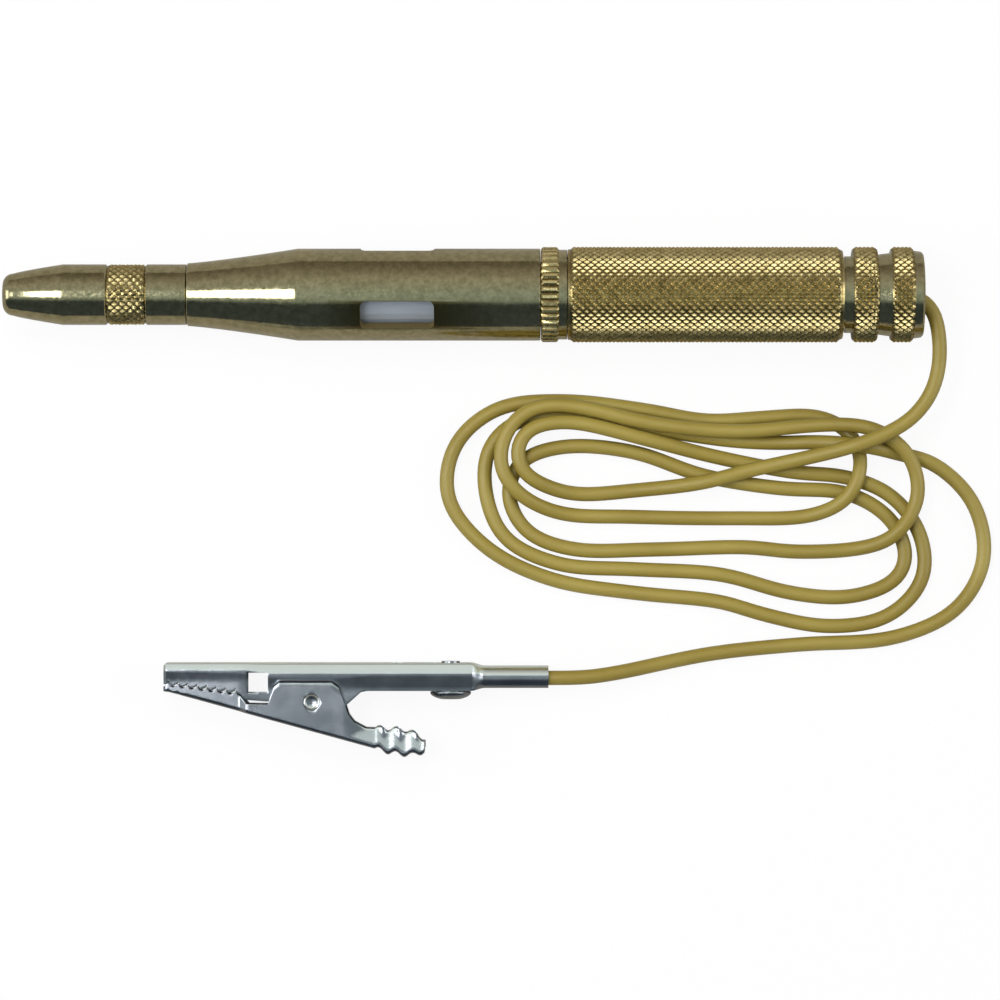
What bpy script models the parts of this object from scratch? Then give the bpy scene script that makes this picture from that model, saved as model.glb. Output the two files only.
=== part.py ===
"""Automotive test light: a turned brass probe pen with a lamp behind windows, a soft lead and a toothed clip.

Metres, +Z up. The object lies on the plane z = 0. The pen's axis runs along X, needle end towards -X, and its
rear end face stays at REAR_END_X, where the lead leaves it. The clip lies on its side beside the pen.
"""

import math

import bmesh
import bpy
import numpy as np
from mathutils import Matrix, Vector

MM = 0.001

# Clearances
SEAT_GAP = 0.3 * MM  # between pieces that seat on or in each other
RUNNING_GAP = 0.35 * MM  # round the moving jaw's walls

# Pen, outer form. Steps and depths are measured in from the handle's or the barrel's surface
REAR_END_X = 60.0 * MM
HANDLE_LENGTH = 35.8 * MM
HANDLE_DIAMETER = 12.5 * MM
HANDLE_WALL = 1.25 * MM
HANDLE_CHAMFER = 0.5 * MM
HANDLE_LEAD_IN = 0.4 * MM  # smooth turned length ahead of the knurl
END_CHAMFER = 1.3 * MM
END_FACE_STEP = 0.9 * MM
REAR_BAND_LENGTH = 2.9 * MM
GROOVE_LENGTH = 1.8 * MM
GROOVE_DEPTH = 0.9 * MM
FRONT_BAND_LENGTH = 3.2 * MM
NECK_LENGTH = 1.3 * MM
NECK_DEPTH = 1.25 * MM
RING_LENGTH = 2.3 * MM
RING_STEP = 0.05 * MM
COLLAR_LENGTH = 0.9 * MM
COLLAR_STEP = 0.4 * MM
BARREL_LENGTH = 31.4 * MM
BARREL_DIAMETER = 12.0 * MM
BARREL_WALL = 1.5 * MM
CONE_LENGTH = 14.4 * MM
CONE_START_DIAMETER = 8.2 * MM
CONE_SWELL = 1.2  # power of the swell: 1 is a straight cone, more is slimmer at the front
CONE_STEPS = 6
CAP_LENGTH = 23.8 * MM
CAP_DIAMETER = 7.9 * MM
CAP_TAPER_LENGTH = 7.8 * MM
CAP_NOSE_DIAMETER = 5.5 * MM
CAP_NOSE_RADIUS = 1.35 * MM
CAP_TAPER_SWELL = 0.85  # less than 1 is fuller at the front
CAP_KNURL_LENGTH = 4.9 * MM
CAP_KNURL_TO_JOINT = 5.2 * MM

# Knurling: columns round the piece and depth of the cut
KNURL_COLUMNS = 18
KNURL_DEPTH = 0.35 * MM
CAP_KNURL_COLUMNS = 14
CAP_KNURL_DEPTH = 0.25 * MM
RING_FLUTES = 24
RING_FLUTE_DEPTH = 0.3 * MM

# Pen, walls, bores and spigots
NEEDLE_BORE = 3.8 * MM  # in the cone
LAMP_BORE_INSET = 3.0 * MM  # the lamp bore starts this far inside the cone
CAP_SPIGOT_DIAMETER = 5.4 * MM
CAP_SPIGOT_LENGTH = 6.0 * MM
CAP_GUARD_BORE = 3.6 * MM  # round the needle
CAP_END_WALL = 2.6 * MM
COUPLING_WALL = 1.5 * MM  # of its rear spigot
COUPLING_FRONT_SPIGOT = 6.8 * MM
COUPLING_REAR_SPIGOT = 6.5 * MM
REAR_SPIGOT_LENGTH = 5.6 * MM
REAR_CAP_END_WALL = 2.6 * MM
LEAD_MOUTH_FLARE = 1.25 * MM  # how much wider than its hole the lead's mouth is, all round

# Windows, slots round the barrel
WINDOW_COUNT = 3
WINDOW_LENGTH = 9.6 * MM
WINDOW_WIDTH = 4.0 * MM
WINDOW_CORNER = 0.8 * MM
WINDOW_FROM_CONE = 8.2 * MM
WINDOW_TURN = math.radians(-30)  # from straight up, turned towards -Y

# Needle, bush and lamp
NEEDLE_DIAMETER = 1.8 * MM
NEEDLE_TIP_DIAMETER = 0.27 * MM
NEEDLE_POINT_LENGTH = 4.0 * MM
NEEDLE_REACH = 14.0 * MM  # out of the bush
NEEDLE_HEAD_DIAMETER = 4.0 * MM
NEEDLE_HEAD_LENGTH = 1.0 * MM
BUSH_FLANGE_LENGTH = 1.8 * MM
WINDOW_TUBE_WALL = 0.7 * MM
LAMP_GAP = 0.35 * MM  # between the lamp and the tube round it
LAMP_END_INSET = 0.5 * MM  # the lamp ends this far inside the barrel
LAMP_CAP_LENGTH = 6.0 * MM
LAMP_CAP_WALL = 0.15 * MM
LAMP_CAP_TIP = 1.6 * MM
LAMP_CONTACT_DIAMETER = 1.9 * MM
LAMP_CAP_LAP = 1.5 * MM  # how far each metal cap laps over the glass
LAMP_DOME_LENGTH = 1.1 * MM
LAMP_DOME_SHARE = 0.6  # the glass's end face against its neck

# Insides of the handle
LINER_WALL = 1.2 * MM
TERMINAL_LENGTH = 7.0 * MM
TERMINAL_HEAD_LENGTH = 2.3 * MM
TERMINAL_STUB_DIAMETER = 3.8 * MM
CONTACT_WIRE = 0.7 * MM
CONTACT_TURNS = 6
CONTACT_GAP = 0.95 * MM  # between the contact spring and the liner
LEAD_BUSH_LENGTH = 5.0 * MM
LEAD_BUSH_WALL = 0.95 * MM

# Lead
LEAD_DIAMETER = 1.9 * MM
LEAD_POINT_COUNT = 80
LEAD_CURVE_STEPS = 12  # points read from each stretch of the smooth curve
STRAIGHT_SHARE = 60.0  # weight of a metre of straight lead against a radian of bend

# Clip, in its own frame: pivot at the origin, X towards the lead, Y towards the fixed jaw's spine
PIVOT_X = -19.7 * MM
PIVOT_Y = -53.2 * MM
CLIP_WIDTH = 7.0 * MM  # over the moving jaw's walls
SHEET = 0.45 * MM
NOSE_HALF_WIDTH = 2.2 * MM
BEND_RADIUS = 1.2 * MM
BEND_SHARE = 0.45  # the most of a low wall that its bend takes
TOOTH_COUNT = 8
TOOTH_DEPTH = 0.6 * MM
TOOTH_GAP = 0.21 * MM  # from each jaw's teeth to the line where they meet
SPINE_HEIGHT = 5.1 * MM  # pivot to the outside of the fixed jaw's spine
TAIL_EDGE_HEIGHT = 1.45 * MM  # pivot to the lower edge of the fixed jaw's tail
NOSE_TIP_X = -19.4 * MM
NOSE_BACK_X = -9.4 * MM
NOSE_TIP_DROP = 0.27 * MM  # how much the jaws close in at the very tip
OPENING_START_X = -8.5 * MM  # the opening in each of the fixed jaw's walls
OPENING_LENGTH = 2.75 * MM
OPENING_TOP = 3.85 * MM
OPENING_BOTTOM = 1.2 * MM
GRIP_LINE_TIP_Y = 2.5 * MM  # where the closed teeth meet, at the tip
GRIP_LINE_BACK_Y = 1.25 * MM  # and at the back of the nose
BARREL_START_X = 22.6 * MM
BARREL_END_X = 30.9 * MM
BARREL_RADIUS = 1.7 * MM
BARREL_STEP = 0.3 * MM  # the rolled barrel's top lies this much below the spine
BARREL_AXIS_Y = SPINE_HEIGHT - BARREL_STEP - BARREL_RADIUS
BARREL_SEAM = math.radians(24)  # half the angle left open along the rolled tail
PIVOT_DIAMETER = 2.1 * MM
PIVOT_DIMPLE_DIAMETER = 1.2 * MM
PIVOT_DIMPLE_DEPTH = 0.5 * MM
SCREW_X = 18.1 * MM
SCREW_HEAD_DIAMETER = 3.9 * MM
SCREW_HEAD_HEIGHT = 1.4 * MM
SCREW_HEAD_REACH = 0.9 * MM  # how far the head stands out below the tail's edge
SCREW_SHANK_DIAMETER = 2.4 * MM
SCREW_SLOT_WIDTH = 0.6 * MM
SCREW_SLOT_DEPTH = 0.6 * MM
SPINE_SLOT_X = 15.3 * MM
SPINE_SLOT_SIZE = (1.7 * MM, 2.8 * MM)
SPINE_HOLE_X = 11.1 * MM
SPINE_HOLE_DIAMETER = 1.9 * MM
SPRING_WIRE = 0.5 * MM
SPRING_COIL_RADIUS = 1.7 * MM
SPRING_TURNS = 3.5
SPRING_PITCH = 0.75 * MM
SPRING_LEG_X = 8.0 * MM
LEVER_SLANT = 1.1  # the lever's sheet, measured upright, against its thickness
STRAND_DIAMETER = 1.2 * MM

# The moving jaw's outline in the clip's frame, from the nose to the thumb pad, in millimetres
MOVING_SPINE = ((-19.4, 1.4), (-18.6, 1.3), (10.0, -6.53), (11.5, -6.8), (13.2, -6.9), (14.7, -6.5))
MOVING_EDGE = (
    (-9.4, 0.7), (-8.6, -0.25), (-5.7, -0.3), (-5.0, 2.4), (-4.0, 3.3), (2.6, 3.3), (3.7, 2.2), (4.4, -0.5),
    (4.8, -1.7), (5.5, -2.6), (7.0, -3.4), (9.0, -3.5), (12.0, -3.7), (13.6, -4.3), (14.7, -5.0),
)
# The fixed jaw's wall edge behind the nose, in millimetres
FIXED_EDGE = (
    (-9.4, 1.2), (-8.75, 0.3), (-5.6, 0.05), (-4.4, -0.5),
    (0, -1.9), (2.6, -1.5), (4.4, -0.5), (6.4, 1.3), (7.2, 1.45),
)
THUMB_RIDGE_START_X = 8.2 * MM
THUMB_RIDGE_PITCH = 2.2 * MM
THUMB_RIDGE_HEIGHT = 0.3 * MM

# The lead's route over the plane it lies on, from the pen's end to the clip: x, y and height in millimetres
LEAD_ROUTE = (
    (44.6, 0, 6.25), (48, 0, 6.25), (53, 0, 6.25), (57.9, 0, 6.25), (59.45, -0.3, 6.25), (60.75, -1.15, 6.2),
    (61.65, -2.45, 6.2), (62, -4.1, 6.15), (62.3, -6.6, 6.1), (62.2, -9.2, 6), (61.3, -12.6, 6),
    (58.8, -16, 5.9), (55.2, -18.2, 5.85), (50.5, -19.9, 5.8), (44, -21.5, 3.6), (38, -22.8, 2.85),
    (31.5, -24.5, 2.8), (23, -25.5, 1), (14.5, -26, 0.95), (9.7, -24.45, 2.6), (7.8, -23.1, 2.85),
    (7.03, -20.95, 2.85), (7.5, -18.7, 2.85), (9.2, -17.15, 2.85), (10.9, -16.75, 2.85), (13.2, -16.5, 2.85),
    (16, -16.8, 2.85), (24, -18.8, 2.5), (33.5, -21.2, 0.95), (44, -23.2, 0.95), (50, -23.7, 0.95), (56, -26, 0.95),
    (60, -31, 0.95), (60.5, -37, 0.95), (56, -42, 0.95), (48, -43.4, 0.95), (39, -41.7, 0.95),
    (34, -40.2, 0.95), (22.5, -39, 0.95), (11.5, -37.2, 0.95), (3, -33, 0.95), (-2, -26.5, 0.95),
    (-1, -19.5, 0.95), (4.5, -14.8, 0.95), (13, -13.8, 0.95), (24, -15, 0.95), (32, -16.4, 0.95),
    (39.5, -16, 0.95), (46.5, -15.8, 0.95), (50.2, -17.4, 1.3), (52, -20, 1.8), (52.1, -23.2, 2.85),
    (50.4, -26.6, 2.75), (46, -28.8, 1.1), (35.5, -29.2, 0.95), (22, -29, 0.95), (12.5, -28.5, 1.1),
    (7, -25.7, 2.85), (4.9, -22.3, 2.85), (5.7, -17.8, 2.85), (9, -14.75, 2.85), (14, -14.4, 2.85), (24, -16.6, 2.85),
    (35.5, -17.8, 2.85), (46, -17, 3), (50, -16.9, 3.4), (54.2, -17.6, 3.8), (58.5, -21, 3.5),
    (59.7, -26.5, 2.9), (56.7, -31.4, 2.85), (53, -33, 1.2), (43.5, -33.6, 0.95), (37.5, -33, 0.95),
    (25, -33.3, 0.95), (14, -33.2, 0.95), (8.2, -30.8, 0.95), (5.9, -26, 0.95), (7.5, -21.8, 0.95),
    (13, -19.8, 0.95), (22.5, -20.5, 0.95), (31.5, -23.6, 0.95), (42, -25.3, 0.95), (50.5, -25.9, 0.95),
    (56.1, -29.2, 0.95), (58.3, -34, 0.95), (57, -37.2, 0.95), (51, -39.5, 0.95), (43, -39, 0.95),
    (34, -36.6, 0.95), (22.5, -35.9, 0.95), (12.5, -35.2, 0.95), (5.4, -31.7, 0.95), (2.9, -25.5, 0.95),
    (3.4, -20, 0.95), (7, -16.5, 0.95), (14, -15.8, 0.95), (24.5, -17.4, 0.95), (35.5, -19, 0.95),
    (42, -19.3, 1.1), (45.4, -19.2, 2.0), (48.6, -19.3, 3.2), (51.7, -19.6, 3.8), (54.8, -20.1, 3.0),
    (57.8, -20.9, 1.6), (61.5, -21.8, 0.95), (67, -27, 0.95), (68.5, -34.5, 0.95), (65, -41, 0.95),
    (57, -44.8, 0.95), (44, -45.8, 0.95), (32.5, -47, 1.1), (20.5, -49.4, 2.9), (16.5, -50, 3.4),
    (13.5, -50.1, 3.5), (11, -50.1, 3.5), (3.6, -50.1, 3.5),
)

# Sides of the faceted rounds
TURNED_SIDES = 28
FINE_SIDES = 20
WIRE_STEPS = 9  # points in each turn of a spring
CORNER_STEPS = 3
NOSE_STEPS = 3
CORD_SMOOTHNESS = 2
SPRING_SMOOTHNESS = 1
FLAT_TOLERANCE = 0.0005 * MM

BRASS = ("brass", "#9c8a58", 0.35, 1.0)
STEEL = ("plated_steel", "#8e949b", 0.3, 1.0)
NEEDLE_STEEL = ("needle_steel", "#b9bcc0", 0.25, 1.0)
COPPER = ("copper_strands", "#b87850", 0.4, 1.0)
LEAD_VINYL = ("lead_vinyl", "#9a8838", 0.5, 0.0)
CLEAR_TUBE = ("clear_tube", "#c6d4d8", 0.1, 0.0)
GLASS = ("lamp_glass", "#dfe6e8", 0.05, 0.0)
NYLON = ("nylon", "#d8d4c8", 0.5, 0.0)


def clear_scene():
    """Takes the startup objects out of the scene."""
    for obj in list(bpy.data.objects):
        bpy.data.objects.remove(obj, do_unlink=True)


def linear(code):
    """The linear colour of an sRGB hex code, with full alpha."""
    values = [int(code[i : i + 2], 16) / 255 for i in (1, 3, 5)]
    return [v / 12.92 if v <= 0.04045 else ((v + 0.055) / 1.055) ** 2.4 for v in values] + [1.0]


def material(finish):
    """The material of a finish: its name, colour, roughness and metallic value."""
    name, code, roughness, metallic = finish
    found = bpy.data.materials.get(name)
    if found:
        return found
    made = bpy.data.materials.new(name)
    made.use_nodes = True
    shader = made.node_tree.nodes["Principled BSDF"]
    shader.inputs["Base Color"].default_value = linear(code)
    shader.inputs["Roughness"].default_value = roughness
    shader.inputs["Metallic"].default_value = metallic
    made.diffuse_color = linear(code)
    return made


def add_object(name, data, finish, parent=None):
    """Links a mesh or curve into the scene as a named object under its parent."""
    obj = bpy.data.objects.new(name, data)
    bpy.context.scene.collection.objects.link(obj)
    data.materials.append(material(finish))
    obj.parent = parent
    return obj


def add_frame(name, location):
    """An empty that carries the pieces of one sub-assembly."""
    frame = bpy.data.objects.new(name, None)
    bpy.context.scene.collection.objects.link(frame)
    frame.location = location
    return frame


def finish_mesh(name, mesh_data, smooth_angle=30):
    """Turns a bmesh into a mesh with outward faces and smooth rounds."""
    bmesh.ops.recalc_face_normals(mesh_data, faces=mesh_data.faces)
    mesh = bpy.data.meshes.new(name)
    mesh_data.to_mesh(mesh)
    mesh_data.free()
    mesh.shade_smooth()
    mesh.set_sharp_from_angle(angle=math.radians(smooth_angle))
    return mesh


def hide_cutter(obj):
    """Marks a Boolean cutter, so that it is no piece of the object."""
    obj.hide_render = True
    obj.display_type = "WIRE"


def cut(obj, cutter):
    """Subtracts a cutter from a piece."""
    hide_cutter(cutter)
    modifier = obj.modifiers.new(cutter.name, "BOOLEAN")
    modifier.operation = "DIFFERENCE"
    modifier.object = cutter


def plain_ring(x, diameter, sides):
    """One ring of a turned piece: its place on the axis and its radius at each side."""
    return x, [diameter / 2] * sides


def diamond_rings(start, end, diameter, depth, columns):
    """Rings of a diamond knurl: crests and crossings alternate round each ring and along the axis."""
    crest, root = diameter / 2, diameter / 2 - depth
    half_pitch = math.pi * diameter / (2 * columns)
    rows = max(2, round((end - start) / half_pitch))
    rings = []
    for row in range(rows + 1):
        x = start + (end - start) * row / rows
        edge = row in (0, rows)
        rings.append((x, [crest if (side + row) % 2 and not edge else root for side in range(2 * columns)]))
    return rings


def flute_rings(start, end, diameter, depth, flutes):
    """Rings of a straight knurl: ridges along the axis, chamfered at both ends."""
    crest, root = diameter / 2, diameter / 2 - depth
    ridged = [crest if side % 2 else root for side in range(2 * flutes)]
    flat = [root] * (2 * flutes)
    return [(start, flat), (start + depth, ridged), (end - depth, ridged), (end, flat)]


def ring_point(x, radius, side, sides):
    """A point of a ring; side 0 points straight up."""
    angle = 2 * math.pi * side / sides
    return Vector((x, -radius * math.sin(angle), radius * math.cos(angle)))


def skin_rings(mesh_data, first, second, corners_a, corners_b):
    """Faces between two rings. Where crests alternate, each face is split along its groove."""
    sides = len(corners_a)
    for side in range(sides):
        after = (side + 1) % sides
        a, b, c, d = corners_a[side], corners_a[after], corners_b[after], corners_b[side]
        across = first[side] + second[after] - first[after] - second[side]
        if abs(across) < FLAT_TOLERANCE:
            mesh_data.faces.new((a, b, c, d))
        elif across < 0:
            mesh_data.faces.new((a, b, c))
            mesh_data.faces.new((a, c, d))
        else:
            mesh_data.faces.new((a, b, d))
            mesh_data.faces.new((b, c, d))


def turned(name, rings, hollow):
    """A piece turned about X from its rings. A hollow one closes on itself, and a solid one is capped."""
    mesh_data = bmesh.new()
    sides = len(rings[0][1])
    corners = []
    for x, radii in rings:
        corners.append([mesh_data.verts.new(ring_point(x, radii[side], side, sides)) for side in range(sides)])
    count = len(rings)
    for i in range(count if hollow else count - 1):
        j = (i + 1) % count
        skin_rings(mesh_data, rings[i][1], rings[j][1], corners[i], corners[j])
    if not hollow:
        mesh_data.faces.new(corners[0])
        mesh_data.faces.new(corners[-1])
    return finish_mesh(name, mesh_data)


def turned_profile(name, profile, hollow, sides=TURNED_SIDES):
    """A plain turned piece from a profile of (place on the axis, diameter)."""
    return turned(name, [plain_ring(x, diameter, sides) for x, diameter in profile], hollow)


def slot_cutter(name, length, width, corner, depth, location, direction, parent):
    """A prism with rounded corners that cuts a slot. Its length lies along X, and it cuts in the direction."""
    mesh_data = bmesh.new()
    outline = []
    for quadrant, (sx, sy) in enumerate(((1, 1), (-1, 1), (-1, -1), (1, -1))):
        centre = Vector((sx * (length / 2 - corner), sy * (width / 2 - corner), 0))
        for step in range(CORNER_STEPS + 1):
            angle = math.pi / 2 * (quadrant + step / CORNER_STEPS)
            outline.append(centre + Vector((math.cos(angle), math.sin(angle), 0)) * corner)
    base = mesh_data.faces.new([mesh_data.verts.new(point) for point in outline])
    grown = bmesh.ops.extrude_face_region(mesh_data, geom=[base])["geom"]
    moved = [item for item in grown if isinstance(item, bmesh.types.BMVert)]
    bmesh.ops.translate(mesh_data, verts=moved, vec=(0, 0, depth))
    cutter = bpy.data.objects.new(name, finish_mesh(name, mesh_data))
    bpy.context.scene.collection.objects.link(cutter)
    cutter.parent = parent
    lengthwise = Vector((1, 0, 0))
    aim = direction.normalized()
    turn = Matrix((lengthwise, aim.cross(lengthwise), aim)).transposed().to_4x4()
    cutter.matrix_local = Matrix.Translation(location) @ turn
    return cutter


def round_cutter(name, diameter, depth, location, axis, parent):
    """A cylinder that cuts a round hole, centred on its location."""
    mesh_data = bmesh.new()
    bmesh.ops.create_cone(
        mesh_data, cap_ends=True, segments=FINE_SIDES, radius1=diameter / 2, radius2=diameter / 2, depth=depth
    )
    cutter = bpy.data.objects.new(name, finish_mesh(name, mesh_data))
    bpy.context.scene.collection.objects.link(cutter)
    cutter.parent = parent
    cutter.location = location
    cutter.rotation_euler = axis.to_track_quat("Z", "Y").to_euler()
    return cutter


def box_cutter(name, size, location, parent):
    """A box that cuts a notch, centred on its location."""
    mesh_data = bmesh.new()
    bmesh.ops.create_cube(mesh_data, size=1, matrix=Matrix.Diagonal((*size, 1)))
    cutter = bpy.data.objects.new(name, finish_mesh(name, mesh_data))
    bpy.context.scene.collection.objects.link(cutter)
    cutter.parent = parent
    cutter.location = location
    return cutter


def wire(name, points, diameter, finish, parent=None, smoothness=CORD_SMOOTHNESS):
    """A round wire or cord along the points, with closed ends."""
    curve = bpy.data.curves.new(name, "CURVE")
    curve.dimensions = "3D"
    curve.bevel_depth = diameter / 2
    curve.bevel_resolution = smoothness
    curve.use_fill_caps = True
    spline = curve.splines.new("POLY")
    spline.points.add(len(points) - 1)
    for target, point in zip(spline.points, points):
        target.co = (*point, 1)
    return add_object(name, curve, finish, parent)


def smooth_curve(points, steps):
    """Centripetal Catmull-Rom curve through the points, with so many steps in each stretch."""
    held = [2 * points[0] - points[1], *points, 2 * points[-1] - points[-2]]
    line = []
    for before, start, end, after in zip(held, held[1:], held[2:], held[3:]):
        t0 = 0.0
        t1 = t0 + math.sqrt((start - before).length)
        t2 = t1 + math.sqrt((end - start).length)
        t3 = t2 + math.sqrt((after - end).length)
        for step in range(steps):
            t = t1 + (t2 - t1) * step / steps
            a = before.lerp(start, (t - t0) / (t1 - t0))
            b = start.lerp(end, (t - t1) / (t2 - t1))
            c = end.lerp(after, (t - t2) / (t3 - t2))
            first = a.lerp(b, (t - t0) / (t2 - t0))
            second = b.lerp(c, (t - t1) / (t3 - t1))
            line.append(first.lerp(second, (t - t1) / (t2 - t1)))
    line.append(points[-1])
    return line


def bend_spaced(line, count):
    """Points of a fine line, closer together where it bends, so that a few of them keep its shape."""
    weight = [0.0]
    for before, here, after in zip(line, line[1:], line[2:]):
        turn = (here - before).angle(after - here, 0.0)
        weight.append(weight[-1] + turn + STRAIGHT_SHARE * (after - here).length)
    places = np.linspace(0, weight[-1], count)
    picked = [min(range(len(weight)), key=lambda i, place=place: abs(weight[i] - place)) for place in places]
    return [line[i] for i in picked[:-1]] + [line[-1]]


def coil_points(radius, pitch, turns, start, centre_x=0.0, steps=WIRE_STEPS):
    """Points of a coil about X that starts at an angle from straight up."""
    count = round(turns * steps)
    points = []
    for i in range(count + 1):
        angle = start + 2 * math.pi * turns * i / count
        x = centre_x + pitch * turns * i / count
        points.append(Vector((x, -radius * math.sin(angle), radius * math.cos(angle))))
    return points


class PenBores:
    """Diameters inside the pen, worked out from the outer ones, the walls and the gaps."""

    barrel = BARREL_DIAMETER - 2 * BARREL_WALL
    tube_outer = barrel - 2 * SEAT_GAP
    tube = tube_outer - 2 * WINDOW_TUBE_WALL
    lamp_cap = tube - 2 * LAMP_GAP
    lamp_glass = lamp_cap - 2 * LAMP_CAP_WALL
    lamp_neck = lamp_glass - 2 * SEAT_GAP
    handle = HANDLE_DIAMETER - 2 * HANDLE_WALL
    spigot = handle - 2 * SEAT_GAP
    coupling_rear = spigot - 2 * COUPLING_WALL
    liner = spigot - 2 * LINER_WALL
    contact_coil = liner - 2 * CONTACT_GAP - CONTACT_WIRE
    lead_hole = LEAD_DIAMETER + 2 * SEAT_GAP
    lead_bush = lead_hole + 2 * LEAD_BUSH_WALL
    rear_cap = lead_bush + 2 * SEAT_GAP


class PenPlaces:
    """Where each piece of the pen begins and ends along its axis, from the rear end face forwards."""

    rear_end = REAR_END_X
    rear_band_end = rear_end - END_CHAMFER
    groove_end = rear_band_end - REAR_BAND_LENGTH
    front_band_end = groove_end - GROOVE_LENGTH
    neck_end = front_band_end - FRONT_BAND_LENGTH
    handle_end = neck_end - NECK_LENGTH
    handle_start = handle_end - HANDLE_LENGTH
    collar_end = handle_start - SEAT_GAP
    ring_end = collar_end - COLLAR_LENGTH
    ring_start = ring_end - RING_LENGTH
    barrel_end = ring_start - SEAT_GAP
    cone_end = barrel_end - BARREL_LENGTH
    cone_start = cone_end - CONE_LENGTH
    cap_end = cone_start - SEAT_GAP
    cap_start = cap_end - CAP_LENGTH
    spigot_start = cone_start - CAP_SPIGOT_LENGTH
    lamp_bore_start = cone_end - LAMP_BORE_INSET
    bush_flange_start = lamp_bore_start + SEAT_GAP
    bush_flange_end = bush_flange_start + BUSH_FLANGE_LENGTH
    needle_head_start = bush_flange_end + SEAT_GAP
    needle_head_end = needle_head_start + NEEDLE_HEAD_LENGTH
    window_centre = cone_end + WINDOW_FROM_CONE + WINDOW_LENGTH / 2
    lamp_start = needle_head_end + SEAT_GAP
    glass_start = lamp_start + LAMP_CAP_TIP + LAMP_CAP_LENGTH - LAMP_CAP_LAP
    lamp_end = barrel_end - LAMP_END_INSET
    glass_end = lamp_end - LAMP_CAP_TIP - LAMP_CAP_LENGTH + LAMP_CAP_LAP
    coupling_step = lamp_end + SEAT_GAP
    coupling_start = ring_start - COUPLING_FRONT_SPIGOT
    coupling_end = collar_end + COUPLING_REAR_SPIGOT
    rear_spigot_start = handle_end - REAR_SPIGOT_LENGTH
    liner_start = coupling_end + SEAT_GAP
    liner_end = rear_spigot_start - SEAT_GAP
    terminal_end = liner_end
    terminal_start = terminal_end - TERMINAL_LENGTH
    rear_bore_end = rear_end - REAR_CAP_END_WALL
    lead_bush_end = rear_bore_end - SEAT_GAP
    lead_bush_start = lead_bush_end - LEAD_BUSH_LENGTH


def build_needle_cap(frame):
    """The turned guard that screws over the needle, with its knurled band and rounded nose."""
    places = PenPlaces
    sides = 2 * CAP_KNURL_COLUMNS
    knurl_end = places.cap_end - CAP_KNURL_TO_JOINT
    knurl_start = knurl_end - CAP_KNURL_LENGTH
    profile = [(places.cap_start, CAP_NOSE_DIAMETER - 2 * CAP_NOSE_RADIUS)]
    for step in range(1, NOSE_STEPS + 1):
        angle = math.pi / 2 * step / NOSE_STEPS
        x = places.cap_start + CAP_NOSE_RADIUS * (1 - math.cos(angle))
        profile.append((x, CAP_NOSE_DIAMETER - 2 * CAP_NOSE_RADIUS * (1 - math.sin(angle))))
    for step in range(1, NOSE_STEPS + 1):
        share = step / NOSE_STEPS
        x = places.cap_start + CAP_NOSE_RADIUS + share * (CAP_TAPER_LENGTH - CAP_NOSE_RADIUS)
        profile.append((x, CAP_NOSE_DIAMETER + share**CAP_TAPER_SWELL * (CAP_DIAMETER - CAP_NOSE_DIAMETER)))
    rings = [plain_ring(x, diameter, sides) for x, diameter in profile]
    rings.append(plain_ring(knurl_start - CAP_KNURL_DEPTH, CAP_DIAMETER, sides))
    rings += diamond_rings(knurl_start, knurl_end, CAP_DIAMETER, CAP_KNURL_DEPTH, CAP_KNURL_COLUMNS)
    thread_bore = CAP_SPIGOT_DIAMETER + 2 * SEAT_GAP
    bore_shoulder = places.spigot_start - SEAT_GAP
    bore_end = places.cap_start + CAP_END_WALL
    inner = [
        (knurl_end + CAP_KNURL_DEPTH, CAP_DIAMETER),
        (places.cap_end, CAP_DIAMETER),
        (places.cap_end, thread_bore),
        (bore_shoulder, thread_bore),
        (bore_shoulder, CAP_GUARD_BORE),
        (bore_end, CAP_GUARD_BORE),
    ]
    rings += [plain_ring(x, diameter, sides) for x, diameter in inner]
    mesh = turned("needle_cap", rings, hollow=False)
    return add_object("needle_cap", mesh, BRASS, frame)


def cone_profile():
    """The cone's outer form, which swells from just over the cap's width to the barrel's."""
    profile = []
    for step in range(CONE_STEPS):
        share = step / CONE_STEPS
        swell = share**CONE_SWELL * (BARREL_DIAMETER - CONE_START_DIAMETER)
        profile.append((PenPlaces.cone_start + share * CONE_LENGTH, CONE_START_DIAMETER + swell))
    return profile


def build_front_body(frame):
    """The front tube: spigot for the cap, cone, and lamp barrel with three windows."""
    places = PenPlaces
    profile = [(places.spigot_start, CAP_SPIGOT_DIAMETER), (places.cone_start, CAP_SPIGOT_DIAMETER)]
    profile += cone_profile()
    profile += [
        (places.cone_end, BARREL_DIAMETER),
        (places.barrel_end, BARREL_DIAMETER),
        (places.barrel_end, PenBores.barrel),
        (places.lamp_bore_start, PenBores.barrel),
        (places.lamp_bore_start, NEEDLE_BORE),
        (places.spigot_start, NEEDLE_BORE),
    ]
    body = add_object("front_body", turned_profile("front_body", profile, hollow=True), BRASS, frame)
    for index in range(WINDOW_COUNT):
        turn = WINDOW_TURN + 2 * math.pi * index / WINDOW_COUNT
        direction = Vector((0, math.sin(turn), math.cos(turn)))
        start = Vector((places.window_centre, 0, 0)) + direction * (PenBores.barrel / 4)
        name = f"window_cutter_{index + 1}"
        size = (WINDOW_LENGTH, WINDOW_WIDTH, WINDOW_CORNER, BARREL_DIAMETER / 2)
        cut(body, slot_cutter(name, *size, start, direction, frame))
    return body


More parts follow.
